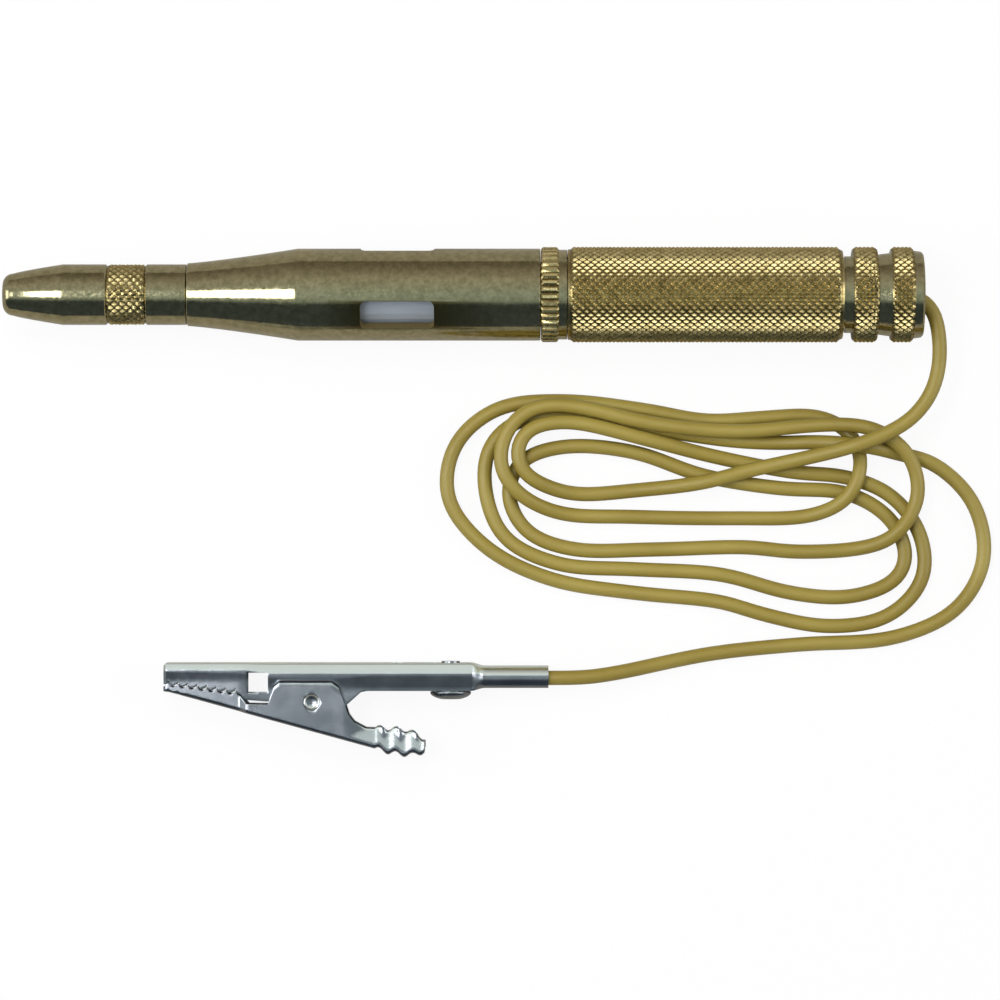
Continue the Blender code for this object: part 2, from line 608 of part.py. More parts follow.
def build_needle(frame):
    """The steel probe needle: point, shank and the head that meets the lamp."""
    places = PenPlaces
    reach = places.spigot_start - NEEDLE_REACH
    profile = [
        (reach, NEEDLE_TIP_DIAMETER),
        (reach + NEEDLE_POINT_LENGTH, NEEDLE_DIAMETER),
        (places.needle_head_start, NEEDLE_DIAMETER),
        (places.needle_head_start, NEEDLE_HEAD_DIAMETER),
        (places.needle_head_end, NEEDLE_HEAD_DIAMETER),
    ]
    mesh = turned_profile("probe_needle", profile, False, FINE_SIDES)
    return add_object("probe_needle", mesh, NEEDLE_STEEL, frame)


def build_needle_bush(frame):
    """The insulating bush that carries the needle in the cone."""
    places = PenPlaces
    outer = NEEDLE_BORE - 2 * SEAT_GAP
    bore = NEEDLE_DIAMETER + 2 * SEAT_GAP
    profile = [
        (places.spigot_start, outer),
        (places.bush_flange_start, outer),
        (places.bush_flange_start, PenBores.tube_outer),
        (places.bush_flange_end, PenBores.tube_outer),
        (places.bush_flange_end, bore),
        (places.spigot_start, bore),
    ]
    return add_object("needle_bush", turned_profile("needle_bush", profile, True, FINE_SIDES), NYLON, frame)


def build_window_tube(frame):
    """The clear tube behind the windows."""
    start, end = PenPlaces.bush_flange_end + SEAT_GAP, PenPlaces.coupling_start - SEAT_GAP
    profile = tube_profile(start, end, PenBores.tube_outer, PenBores.tube)
    return add_object("window_tube", turned_profile("window_tube", profile, True), CLEAR_TUBE, frame)


def build_lamp(frame):
    """The tubular lamp: a glass with a metal cap on each end."""
    places = PenPlaces
    neck, dome_end = PenBores.lamp_neck, PenBores.lamp_neck * LAMP_DOME_SHARE
    glass = [
        (places.glass_start, dome_end),
        (places.glass_start + LAMP_DOME_LENGTH, neck),
        (places.glass_start + LAMP_CAP_LAP, neck),
        (places.glass_start + LAMP_CAP_LAP + SEAT_GAP, PenBores.lamp_glass),
        (places.glass_end - LAMP_CAP_LAP - SEAT_GAP, PenBores.lamp_glass),
        (places.glass_end - LAMP_CAP_LAP, neck),
        (places.glass_end - LAMP_DOME_LENGTH, neck),
        (places.glass_end, dome_end),
    ]
    add_object("lamp_glass", turned_profile("lamp_glass", glass, False, FINE_SIDES), GLASS, frame)
    for name, tip, inward in (("lamp_cap_front", places.lamp_start, 1), ("lamp_cap_rear", places.lamp_end, -1)):
        shoulder = tip + inward * LAMP_CAP_TIP
        mouth = shoulder + inward * LAMP_CAP_LENGTH
        cup = mouth - inward * (LAMP_CAP_LAP + SEAT_GAP)
        profile = [
            (tip, LAMP_CONTACT_DIAMETER),
            (shoulder, PenBores.lamp_cap),
            (mouth, PenBores.lamp_cap),
            (mouth, PenBores.lamp_glass),
            (cup, PenBores.lamp_glass),
        ]
        add_object(name, turned_profile(name, profile, False, FINE_SIDES), NEEDLE_STEEL, frame)


def build_coupling(frame):
    """The threaded coupling: spigots into the barrel and the handle, and the fluted ring between them."""
    places = PenPlaces
    sides = 2 * RING_FLUTES
    ring = HANDLE_DIAMETER - 2 * RING_STEP
    collar = HANDLE_DIAMETER - 2 * COLLAR_STEP
    front = [(places.coupling_start, PenBores.tube_outer), (places.ring_start, PenBores.tube_outer)]
    rings = [plain_ring(x, diameter, sides) for x, diameter in front]
    rings += flute_rings(places.ring_start, places.ring_end, ring, RING_FLUTE_DEPTH, RING_FLUTES)
    tail = [
        (places.ring_end, collar),
        (places.collar_end, collar),
        (places.collar_end, PenBores.spigot),
        (places.coupling_end, PenBores.spigot),
        (places.coupling_end, PenBores.coupling_rear),
        (places.coupling_step, PenBores.coupling_rear),
        (places.coupling_step, PenBores.tube),
        (places.coupling_start, PenBores.tube),
    ]
    rings += [plain_ring(x, diameter, sides) for x, diameter in tail]
    return add_object("coupling_ring", turned("coupling_ring", rings, hollow=True), BRASS, frame)


def build_handle(frame):
    """The diamond-knurled handle tube."""
    places = PenPlaces
    sides = 2 * KNURL_COLUMNS
    smooth = HANDLE_DIAMETER - 2 * KNURL_DEPTH
    knurl = (places.handle_start + HANDLE_LEAD_IN, places.handle_end - HANDLE_CHAMFER)
    rings = [plain_ring(places.handle_start, smooth, sides)]
    rings += diamond_rings(*knurl, HANDLE_DIAMETER, KNURL_DEPTH, KNURL_COLUMNS)
    tail = [
        (places.handle_end, smooth - HANDLE_CHAMFER),
        (places.handle_end, PenBores.handle),
        (places.handle_start, PenBores.handle),
    ]
    rings += [plain_ring(x, diameter, sides) for x, diameter in tail]
    return add_object("knurled_handle", turned("knurled_handle", rings, hollow=True), BRASS, frame)


def build_rear_cap(frame):
    """The rear cap: spigot, neck, two knurled bands with a groove between them, and the lead's hole."""
    places = PenPlaces
    sides = 2 * KNURL_COLUMNS
    shoulder = places.handle_end + SEAT_GAP
    neck, groove = HANDLE_DIAMETER - 2 * NECK_DEPTH, HANDLE_DIAMETER - 2 * GROOVE_DEPTH
    front = [
        (places.rear_spigot_start, PenBores.spigot),
        (shoulder, PenBores.spigot),
        (shoulder, neck),
        (places.neck_end, neck),
    ]
    rings = [plain_ring(x, diameter, sides) for x, diameter in front]
    rings += diamond_rings(places.neck_end, places.front_band_end, HANDLE_DIAMETER, KNURL_DEPTH, KNURL_COLUMNS)
    rings += [plain_ring(x, groove, sides) for x in (places.front_band_end, places.groove_end)]
    rings += diamond_rings(places.groove_end, places.rear_band_end, HANDLE_DIAMETER, KNURL_DEPTH, KNURL_COLUMNS)
    back = [
        (places.rear_end, HANDLE_DIAMETER - 2 * END_FACE_STEP),
        (places.rear_end, PenBores.lead_hole + 2 * LEAD_MOUTH_FLARE),
        (places.rear_bore_end, PenBores.lead_hole),
        (places.rear_bore_end, PenBores.rear_cap),
        (places.rear_spigot_start, PenBores.rear_cap),
    ]
    rings += [plain_ring(x, diameter, sides) for x, diameter in back]
    return add_object("rear_cap", turned("rear_cap", rings, hollow=True), BRASS, frame)


def tube_profile(start, end, outer, bore):
    """The profile of a plain tube."""
    return [(start, outer), (end, outer), (end, bore), (start, bore)]


def build_handle_insides(frame):
    """What the handle holds: liner, contact spring, the lead's terminal and its bush."""
    places = PenPlaces
    profile = tube_profile(places.liner_start, places.liner_end, PenBores.spigot, PenBores.liner)
    add_object("handle_liner", turned_profile("handle_liner", profile, True), NYLON, frame)

    start = places.lamp_end + SEAT_GAP + CONTACT_WIRE / 2
    length = places.terminal_start - SEAT_GAP - CONTACT_WIRE / 2 - start
    points = coil_points(PenBores.contact_coil / 2, length / CONTACT_TURNS, CONTACT_TURNS, 0.0, start)
    wire("contact_spring", points, CONTACT_WIRE, NEEDLE_STEEL, frame, smoothness=SPRING_SMOOTHNESS)

    head = PenBores.liner - 2 * SEAT_GAP
    head_end = places.terminal_start + TERMINAL_HEAD_LENGTH
    profile = [
        (places.terminal_start, head),
        (head_end, head),
        (head_end, TERMINAL_STUB_DIAMETER),
        (places.terminal_end, TERMINAL_STUB_DIAMETER),
    ]
    add_object("lead_terminal", turned_profile("lead_terminal", profile, False, FINE_SIDES), BRASS, frame)

    profile = tube_profile(places.lead_bush_start, places.lead_bush_end, PenBores.lead_bush, PenBores.lead_hole)
    add_object("lead_bush", turned_profile("lead_bush", profile, True, FINE_SIDES), NYLON, frame)


def outline_at(outline, x):
    """The height of an outline given in millimetres, at a place in metres."""
    return float(np.interp(x / MM, [p[0] for p in outline], [p[1] for p in outline])) * MM


def folded_section(x, half_width, spine, edge, roll=0.0):
    """One section across a folded jaw: wall, bend, spine, bend, wall. Roll turns it into the tail's tube."""
    up = 1 if spine > edge else -1
    bend = min(BEND_RADIUS, abs(spine - edge) * BEND_SHARE)
    start = spine - up * bend
    corner = bend * (1 - math.sqrt(0.5))
    side = [
        (edge, half_width),
        ((edge + start) / 2, half_width),
        (start, half_width),
        (spine - up * corner, half_width - corner),
        (spine, half_width - bend),
    ]
    flat = [(y, -z) for y, z in side] + [(spine, 0.0)] + [(y, z) for y, z in reversed(side)]
    section = []
    for index, (y, z) in enumerate(flat):
        angle = (math.pi - BARREL_SEAM) * (2 * index / (len(flat) - 1) - 1)
        tube_y, tube_z = BARREL_AXIS_Y + BARREL_RADIUS * math.cos(angle), BARREL_RADIUS * math.sin(angle)
        section.append(Vector((x, y + roll * (tube_y - y), z + roll * (tube_z - z))))
    return section


def folded_jaw(name, sections, frame):
    """A jaw folded from sheet: a skin over its sections, thickened inwards."""
    mesh_data = bmesh.new()
    rows = [[mesh_data.verts.new(point) for point in section] for section in sections]
    for first, second in zip(rows, rows[1:]):
        for i in range(len(first) - 1):
            mesh_data.faces.new((first[i], first[i + 1], second[i + 1], second[i]))
    mesh = finish_mesh(name, mesh_data)
    outwards = sum(polygon.normal.z * polygon.center.z for polygon in mesh.polygons)
    if outwards < 0:
        mesh.flip_normals()
    jaw = add_object(name, mesh, STEEL, frame)
    thicken = jaw.modifiers.new("sheet", "SOLIDIFY")
    thicken.thickness = SHEET
    thicken.offset = -1
    thicken.use_even_offset = True
    return jaw


def grip_line(x):
    """Where the closed teeth meet, at a place along the nose."""
    share = (x - NOSE_TIP_X) / (NOSE_BACK_X - NOSE_TIP_X)
    return GRIP_LINE_TIP_Y + share * (GRIP_LINE_BACK_Y - GRIP_LINE_TIP_Y)


def tooth_edges(side):
    """(place, edge height) of each tooth's root and point along the nose; side is 1 on the fixed jaw."""
    edges = []
    for index in range(2 * TOOTH_COUNT + 1):
        x = NOSE_TIP_X + (NOSE_BACK_X - NOSE_TIP_X) * index / (2 * TOOTH_COUNT)
        zigzag = TOOTH_DEPTH / 2 * (1 if index % 2 else -1)
        edges.append((x, grip_line(x) + zigzag + side * TOOTH_GAP))
    return edges


def nose_half_width(x):
    """Half the jaws' width along the nose, which narrows to the tip."""
    ear = CLIP_WIDTH / 2 - SHEET - RUNNING_GAP
    share = min(1.0, (x - NOSE_TIP_X) / (NOSE_BACK_X - NOSE_TIP_X))
    return NOSE_HALF_WIDTH + share * (ear - NOSE_HALF_WIDTH)


def build_fixed_jaw(frame):
    """The jaw that carries the lead: toothed nose, openings, ears, tail with the screw, and rolled barrel."""
    ear = CLIP_WIDTH / 2 - SHEET - RUNNING_GAP
    sections = []
    for x, edge in tooth_edges(1):
        drop = NOSE_TIP_DROP if x == NOSE_TIP_X else 0.0
        sections.append(folded_section(x, nose_half_width(x) - drop, SPINE_HEIGHT - drop, edge))
    for x in (point[0] * MM for point in FIXED_EDGE[1:]):
        sections.append(folded_section(x, ear, SPINE_HEIGHT, outline_at(FIXED_EDGE, x)))
    tail_start = SCREW_X + SCREW_HEAD_DIAMETER / 2 + 2 * SEAT_GAP
    sections.append(folded_section(tail_start, ear, SPINE_HEIGHT, TAIL_EDGE_HEIGHT))
    for share in (0.5, 1.0):
        x = tail_start + share * (BARREL_START_X - tail_start)
        sections.append(folded_section(x, ear, SPINE_HEIGHT, TAIL_EDGE_HEIGHT, roll=share))
    sections.append(folded_section(BARREL_END_X, ear, SPINE_HEIGHT, TAIL_EDGE_HEIGHT, roll=1.0))
    jaw = folded_jaw("clip_fixed_jaw", sections, frame)

    opening_centre = Vector((OPENING_START_X + OPENING_LENGTH / 2, (OPENING_TOP + OPENING_BOTTOM) / 2, 0))
    size = (OPENING_LENGTH, OPENING_TOP - OPENING_BOTTOM, CLIP_WIDTH)
    cut(jaw, box_cutter("opening_cutter", size, opening_centre, frame))
    across, down = Vector((0, 0, 1)), Vector((0, 1, 0))
    hole = PIVOT_DIAMETER + 2 * SEAT_GAP
    cut(jaw, round_cutter("fixed_pivot_cutter", hole, 2 * CLIP_WIDTH, Vector((0, 0, 0)), across, frame))
    spine = Vector((0, SPINE_HEIGHT, 0))
    hole = SCREW_SHANK_DIAMETER + 2 * SEAT_GAP
    cut(jaw, round_cutter("screw_hole_cutter", hole, 4 * SHEET, spine + Vector((SCREW_X, 0, 0)), down, frame))
    place = spine + Vector((SPINE_HOLE_X, 0, 0))
    cut(jaw, round_cutter("spine_hole_cutter", SPINE_HOLE_DIAMETER, 4 * SHEET, place, down, frame))
    size = (SPINE_SLOT_SIZE[0], 4 * SHEET, SPINE_SLOT_SIZE[1])
    cut(jaw, box_cutter("spine_slot_cutter", size, spine + Vector((SPINE_SLOT_X, 0, 0)), frame))
    return jaw


def build_moving_jaw(frame):
    """The jaw with the thumb lever: toothed nose, ears outside the fixed jaw's, and a ridged pad."""
    wide = CLIP_WIDTH / 2
    sections = []
    for x, edge in tooth_edges(-1):
        drop = NOSE_TIP_DROP if x == NOSE_TIP_X else 0.0
        sections.append(folded_section(x, nose_half_width(x) - drop, outline_at(MOVING_SPINE, x), edge))
    for x in (point[0] * MM for point in MOVING_EDGE[1:] if point[0] * MM < THUMB_RIDGE_START_X):
        sections.append(folded_section(x, wide, outline_at(MOVING_SPINE, x), outline_at(MOVING_EDGE, x)))
    end = MOVING_EDGE[-1][0] * MM
    steps = round((end - THUMB_RIDGE_START_X) / (THUMB_RIDGE_PITCH / 4))
    for step in range(steps + 1):
        x = THUMB_RIDGE_START_X + (end - THUMB_RIDGE_START_X) * step / steps
        wave = THUMB_RIDGE_HEIGHT * math.sin(2 * math.pi * (x - THUMB_RIDGE_START_X) / THUMB_RIDGE_PITCH)
        spine, edge = outline_at(MOVING_SPINE, x) + wave, outline_at(MOVING_EDGE, x) + wave
        sections.append(folded_section(x, wide, spine, edge))
    jaw = folded_jaw("clip_moving_jaw", sections, frame)
    hole, pivot, across = PIVOT_DIAMETER + 2 * SEAT_GAP, Vector((0, 0, 0)), Vector((0, 0, 1))
    cut(jaw, round_cutter("moving_pivot_cutter", hole, 2 * CLIP_WIDTH, pivot, across, frame))
    return jaw


def build_clip_fittings(frame):
    """The clip's pivot pin, torsion spring, terminal screw and the lead's bare strands."""
    half = CLIP_WIDTH / 2
    profile = [
        (-half + PIVOT_DIMPLE_DEPTH, PIVOT_DIMPLE_DIAMETER),
        (-half, PIVOT_DIMPLE_DIAMETER),
        (-half, PIVOT_DIAMETER),
        (half, PIVOT_DIAMETER),
        (half, PIVOT_DIMPLE_DIAMETER),
        (half - PIVOT_DIMPLE_DEPTH, PIVOT_DIMPLE_DIAMETER),
    ]
    mesh = turned_profile("clip_pivot_pin", profile, False, FINE_SIDES)
    pin = add_object("clip_pivot_pin", mesh, STEEL, frame)
    pin.rotation_euler = (0, -math.pi / 2, 0)

    coil_half = SPRING_PITCH * SPRING_TURNS / 2
    rest = SPINE_HEIGHT - SHEET - SEAT_GAP - SPRING_WIRE / 2
    points = [Vector((SPRING_LEG_X, rest, coil_half))]
    count = round(SPRING_TURNS * WIRE_STEPS)
    for i in range(count + 1):
        angle = math.pi / 2 + 2 * math.pi * SPRING_TURNS * i / count
        z = coil_half - SPRING_PITCH * SPRING_TURNS * i / count
        points.append(Vector((SPRING_COIL_RADIUS * math.cos(angle), SPRING_COIL_RADIUS * math.sin(angle), z)))
    lever = outline_at(MOVING_SPINE, SPRING_LEG_X) + LEVER_SLANT * SHEET + SEAT_GAP + SPRING_WIRE / 2
    points.append(Vector((SPRING_LEG_X, lever, -coil_half)))
    wire("clip_spring", points, SPRING_WIRE, NEEDLE_STEEL, frame, smoothness=SPRING_SMOOTHNESS)

    head_end = TAIL_EDGE_HEIGHT - SCREW_HEAD_REACH
    profile = [
        (head_end, SCREW_HEAD_DIAMETER),
        (head_end + SCREW_HEAD_HEIGHT, SCREW_HEAD_DIAMETER),
        (head_end + SCREW_HEAD_HEIGHT, SCREW_SHANK_DIAMETER),
        (SPINE_HEIGHT + SHEET / 2, SCREW_SHANK_DIAMETER),
    ]
    screw = add_object("clip_screw", turned_profile("clip_screw", profile, False, FINE_SIDES), STEEL, frame)
    screw.location = (SCREW_X, 0, 0)
    screw.rotation_euler = (0, 0, math.pi / 2)
    size = (2 * SCREW_HEAD_DIAMETER, 2 * SCREW_SLOT_DEPTH, SCREW_SLOT_WIDTH)
    cut(screw, box_cutter("screw_slot_cutter", size, Vector((SCREW_X, head_end, 0)), frame))

    start = SCREW_X + SCREW_SHANK_DIAMETER / 2 + SEAT_GAP
    profile = [(start, STRAND_DIAMETER), (BARREL_START_X, STRAND_DIAMETER)]
    mesh = turned_profile("lead_strands", profile, False, FINE_SIDES)
    strands = add_object("lead_strands", mesh, COPPER, frame)
    strands.location = (0, BARREL_AXIS_Y, 0)


def build_lead():
    """The lead, from the terminal in the handle to the clip's barrel."""
    route = [Vector(point) * MM for point in LEAD_ROUTE]
    line = smooth_curve(route, LEAD_CURVE_STEPS)
    for point in line:
        point.z = max(point.z, LEAD_DIAMETER / 2)
    wire("lead", bend_spaced(line, LEAD_POINT_COUNT), LEAD_DIAMETER, LEAD_VINYL)


def main():
    """Builds the pen, the lead and the clip."""
    clear_scene()
    pen = add_frame("pen_frame", (0, 0, HANDLE_DIAMETER / 2))
    build_needle_cap(pen)
    build_needle(pen)
    build_needle_bush(pen)
    build_front_body(pen)
    build_window_tube(pen)
    build_lamp(pen)
    build_coupling(pen)
    build_handle(pen)
    build_handle_insides(pen)
    build_rear_cap(pen)
    build_lead()
    clip = add_frame("clip_frame", (PIVOT_X, PIVOT_Y, CLIP_WIDTH / 2))
    build_fixed_jaw(clip)
    build_moving_jaw(clip)
    build_clip_fittings(clip)


main()
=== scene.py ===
"""Automotive test light: a turned brass probe pen with a lamp, a soft vinyl lead and a folded crocodile clip.

Metres, +Z up, on the plane z = 0. The pen lies along X with its needle end towards -X.
"""

import logging
import math
from dataclasses import dataclass
from enum import Enum
from typing import Any, Callable, Dict, Iterable, List, Optional, Sequence, Tuple, Union

import bmesh
import bpy
import numpy as np
from mathutils import Matrix, Vector


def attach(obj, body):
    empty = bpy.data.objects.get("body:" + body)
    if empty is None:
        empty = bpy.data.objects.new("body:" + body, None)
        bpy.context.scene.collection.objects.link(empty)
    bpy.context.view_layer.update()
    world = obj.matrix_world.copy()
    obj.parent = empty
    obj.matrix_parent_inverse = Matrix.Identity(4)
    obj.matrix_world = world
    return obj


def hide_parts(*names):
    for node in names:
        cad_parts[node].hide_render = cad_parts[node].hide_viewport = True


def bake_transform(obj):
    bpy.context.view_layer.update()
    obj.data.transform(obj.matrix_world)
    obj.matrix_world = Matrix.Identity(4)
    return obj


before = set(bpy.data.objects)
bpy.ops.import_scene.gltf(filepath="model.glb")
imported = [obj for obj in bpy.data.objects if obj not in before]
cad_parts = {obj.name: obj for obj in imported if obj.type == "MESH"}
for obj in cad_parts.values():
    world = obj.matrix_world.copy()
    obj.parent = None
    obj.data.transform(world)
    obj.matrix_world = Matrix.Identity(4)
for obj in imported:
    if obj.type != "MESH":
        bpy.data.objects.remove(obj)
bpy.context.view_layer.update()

MM = 0.001
PEN_AXIS_Z = 6.25 * MM
SMOOTH_ANGLE = math.radians(32)  # edges sharper than this stay crisp
BEVEL_ANGLE = math.radians(40)  # edges sharper than this are broken

Point = Tuple[float, float, float]
Pair = Tuple[float, float]
Faces = List[Tuple[int, ...]]
Socket = bpy.types.NodeSocket

logging.basicConfig(level=logging.INFO, format="%(message)s")
log = logging.getLogger("test_light")


class Body(str, Enum):
    """The bodies that a piece can ride on."""

    PEN = "pen"
    GUARD = "needle_guard"
    LEVER = "clip_lever"


class Slot(str, Enum):
    """The record's material slots."""

    BRASS = "brass"
    BRIGHT_STEEL = "bright_steel"
    CLIP_STEEL = "clip_steel"
    COPPER = "copper"
    NYLON = "nylon"
    CLEAR_TUBE = "clear_tube"
    GLASS = "lamp_glass"
    VINYL = "lead_vinyl"


# ---- colour and nodes


def linear(code: str) -> Tuple[float, float, float, float]:
    """Turns an sRGB hex code into a linear colour.

    Args:
        code: The colour, such as "#9c8a58".

    Returns:
        Linear red, green, blue and full alpha.
    """
    values = [int(code[i : i + 2], 16) / 255 for i in (1, 3, 5)]
    red, green, blue = (v / 12.92 if v <= 0.04045 else ((v + 0.055) / 1.055) ** 2.4 for v in values)
    return red, green, blue, 1.0


def add_node(
    tree: bpy.types.NodeTree,
    kind: str,
    settings: Optional[Dict[Any, Any]] = None,
    links: Optional[Dict[Any, Socket]] = None,
) -> bpy.types.Node:
    """Adds a node to a tree with its settings and links.

    Args:
        tree: The tree that gets the node.
        kind: The node's type name.
        settings: Values by property name or by input; "stops" fills a colour ramp with (place, hex) pairs.
        links: The output sockets that feed the node, by input.

    Returns:
        The new node.
    """
    node = tree.nodes.new(kind)
    for key, value in (settings or {}).items():
        if key == "stops":
            ramp = node.color_ramp.elements
            for place, code in value[1:-1]:
                ramp.new(place).color = linear(code)
            for index in (0, -1):
                ramp[index].position, ramp[index].color = value[index][0], linear(value[index][1])
        elif isinstance(key, str) and hasattr(node, key):
            setattr(node, key, value)
        else:
            node.inputs[key].default_value = value
    for key, socket in (links or {}).items():
        tree.links.new(socket, node.inputs[key])
    return node


def mix(tree: bpy.types.NodeTree, factor: Socket, below: Union[str, Socket], above: Union[str, Socket]) -> Socket:
    """Lays one colour over another.

    Args:
        tree: The tree that gets the node.
        factor: How much of the upper colour shows.
        below: The lower colour, a hex code or a socket.
        above: The upper colour, a hex code or a socket.

    Returns:
        The mixed colour.
    """
    node = add_node(tree, "ShaderNodeMix", {"data_type": "RGBA"}, {"Factor": factor})
    for index, colour in ((6, below), (7, above)):
        if isinstance(colour, str):
            node.inputs[index].default_value = linear(colour)
        else:
            tree.links.new(colour, node.inputs[index])
    return node.outputs[2]


def span(tree: bpy.types.NodeTree, value: Socket, to: Pair, within: Pair = (0.0, 1.0)) -> Socket:
    """Carries a value from one range to another."""
    settings = {"From Min": within[0], "From Max": within[1], "To Min": to[0], "To Max": to[1]}
    return add_node(tree, "ShaderNodeMapRange", settings, {"Value": value}).outputs["Result"]


def noise(tree: bpy.types.NodeTree, size: float, detail: float = 2.0, roughness: float = 0.5) -> Socket:
    """Noise on the piece's own coordinates, with features of a size in millimetres."""
    place = add_node(tree, "ShaderNodeTexCoord").outputs["Object"]
    settings = {"Scale": 1 / (size * MM), "Detail": detail, "Roughness": roughness}
    return add_node(tree, "ShaderNodeTexNoise", settings, {"Vector": place}).outputs["Fac"]


def streaks(tree: bpy.types.NodeTree, rates: Point, detail: float) -> Socket:
    """Noise with a rate of its own along each axis, in features to the metre."""
    place = add_node(tree, "ShaderNodeTexCoord").outputs["Object"]
    drawn = add_node(tree, "ShaderNodeMapping", {"Scale": rates}, {"Vector": place}).outputs["Vector"]
    return add_node(tree, "ShaderNodeTexNoise", {"Scale": 1.0, "Detail": detail}, {"Vector": drawn}).outputs["Fac"]


def bump(tree: bpy.types.NodeTree, height: Socket, depth: float, under: Optional[Socket] = None) -> Socket:
    """The normals of a pattern of a depth in millimetres, over those of another one where given."""
    links = {"Height": height, "Normal": under} if under else {"Height": height}
    return add_node(tree, "ShaderNodeBump", {"Distance": depth * MM, "Strength": 1.0}, links).outputs["Normal"]


@dataclass(frozen=True)
class Finish:
    """What every finish has: a name, the record's slot, a base colour, and how rough and metallic it is."""

    name: str
    slot: Slot
    colour: str
    roughness: float
    metallic: float = 0.0

    def inputs(self, tree: bpy.types.NodeTree) -> Dict[str, Any]:
        """The shader's inputs that the finish's own pattern feeds, as values or sockets; a plain finish has none."""
        return {}

    def make(self) -> bpy.types.Material:
        """Builds the material, once.

        Returns:
            The material, new or already made.
        """
        found = bpy.data.materials.get(self.name)
        if found:
            return found
        made = bpy.data.materials.new(self.name)
        made.use_nodes = True
        made.diffuse_color = linear(self.colour)
        tree = made.node_tree
        shader = tree.nodes["Principled BSDF"]
        plain = {"Base Color": linear(self.colour), "Roughness": self.roughness, "Metallic": self.metallic}
        for name, value in {**plain, **self.inputs(tree)}.items():
            if isinstance(value, Socket):
                tree.links.new(value, shader.inputs[name])
            else:
                shader.inputs[name].default_value = value
        return made


@dataclass(frozen=True)
class TurnedBrass(Finish):
    """Free-cutting brass, turned on a lathe and dulled by handling.

    The tool leaves fine rings round the axis, which spread each highlight; the skin is mottled olive where it
    has tarnished, darker brown in the bottoms of knurls as painted shade, and pale gold on the crests, partly
    where hands keep them bright and partly as a painted highlight.
    """

    # groove is painted shade, a darker brown in the bottoms of knurls and flutes; crest is a paler gold, partly wear
    # and partly painted highlight
    groove: str = "#74663f"
    crest: str = "#d8bf7a"
    tarnish: str = "#8f8868"
    tarnish_size: float = 0.9
    speck_size: float = 0.35
    ring_size: float = 0.22  # tool rings are about 0.05 mm apart; drawn coarser to show
    ring_height: float = 0.004

    def inputs(self, tree: bpy.types.NodeTree) -> Dict[str, Any]:
        """Tarnish, specks, tool rings, painted shade in the grooves, and crests lightened by wear and painted
        highlight.
        """
        mottle = noise(tree, self.tarnish_size, 5.0, 0.7)
        specks = noise(tree, self.speck_size)
        rings = streaks(tree, (1 / (self.ring_size * MM), 30.0, 30.0), 3.0)
        stops = ((0.35, self.tarnish), (0.62, self.colour))
        skin = add_node(tree, "ShaderNodeValToRGB", {"stops": stops}, {"Fac": mottle}).outputs["Color"]
        crest = add_node(tree, "ShaderNodeAttribute", {"attribute_name": "crest"}).outputs["Fac"]
        # crests: paler gold, partly wear and partly painted highlight
        worn_and_highlit = mix(tree, span(tree, crest, (0.0, 0.8), (0.6, 1.0)), skin, self.crest)
        # painted shade: the bottoms of knurls and flutes turn darker brown
        return {
            "Base Color": mix(tree, span(tree, crest, (1.0, 0.0), (0.0, 0.34)), worn_and_highlit, self.groove),
            "Roughness": span(tree, specks, (self.roughness - 0.06, self.roughness + 0.1), (0.3, 0.7)),
            "Normal": bump(tree, specks, self.ring_height, bump(tree, rings, self.ring_height)),
        }


@dataclass(frozen=True)
class PlatedSheet(Finish):
    """Mild steel sheet, pressed and zinc plated: cool grey, faintly brushed along the strip, cloudy where the
    plating is thin, and paler on faces that turn towards +Y, a painted highlight along the fold."""

    thin: str = "#7e8188"
    # painted highlight: the pale colour that faces turned towards +Y take on along the fold
    fold_highlight: str = "#f2fdff"
    cloud_size: float = 3.0
    brush_size: float = 0.8  # brush lines are about 0.1 mm apart; drawn coarser to show
    brush_height: float = 0.002

    def inputs(self, tree: bpy.types.NodeTree) -> Dict[str, Any]:
        """Cloudy plating, brushed grain and a painted highlight on the fold, which faces +Y."""
        clouds = noise(tree, self.cloud_size, 4.0)
        stops = ((0.35, self.thin), (0.65, self.colour))
        tone = add_node(tree, "ShaderNodeValToRGB", {"stops": stops}, {"Fac": clouds}).outputs["Color"]
        # painted highlight: a face is paler the more it turns towards +Y, along the fold
        normal = add_node(tree, "ShaderNodeTexCoord").outputs["Normal"]
        fold_highlight_mask = add_node(tree, "ShaderNodeSeparateXYZ", {}, {"Vector": normal}).outputs["Y"]
        across = 1 / (self.brush_size * MM)
        return {
            "Base Color": mix(tree, span(tree, fold_highlight_mask, (0.0, 1.0), (0.1, 0.26)), tone, self.fold_highlight),
            "Roughness": span(tree, clouds, (self.roughness - 0.05, self.roughness + 0.08)),
            "Normal": bump(tree, streaks(tree, (60.0, across, across), 0.0), self.brush_height),
        }


@dataclass(frozen=True)
class SoftVinyl(Finish):
    """Plasticised PVC, extruded over strands: an even mustard skin, a soft sheen and a faint unevenness."""

    shade: str = "#8e7c32"
    drift_size: float = 14.0
    skin_size: float = 0.5
    skin_height: float = 0.012

    def inputs(self, tree: bpy.types.NodeTree) -> Dict[str, Any]:
        """The drift of colour along the lead, and its uneven skin."""
        drift = noise(tree, self.drift_size)
        stops = ((0.3, self.shade), (0.7, self.colour))
        return {
            "Base Color": add_node(tree, "ShaderNodeValToRGB", {"stops": stops}, {"Fac": drift}).outputs["Color"],
            "Normal": bump(tree, noise(tree, self.skin_size), self.skin_height),
            "IOR": 1.53,
        }


@dataclass(frozen=True)
class DrawnWire(Finish):
    """Drawn metal wire or a turned steel pin: smooth, with faint draw lines along X."""

    line_size: float = 0.1
    line_height: float = 0.002

    def inputs(self, tree: bpy.types.NodeTree) -> Dict[str, Any]:
        """The draw lines."""
        across = 1 / (self.line_size * MM)
        return {"Normal": bump(tree, streaks(tree, (200.0, across, across), 2.0), self.line_height)}


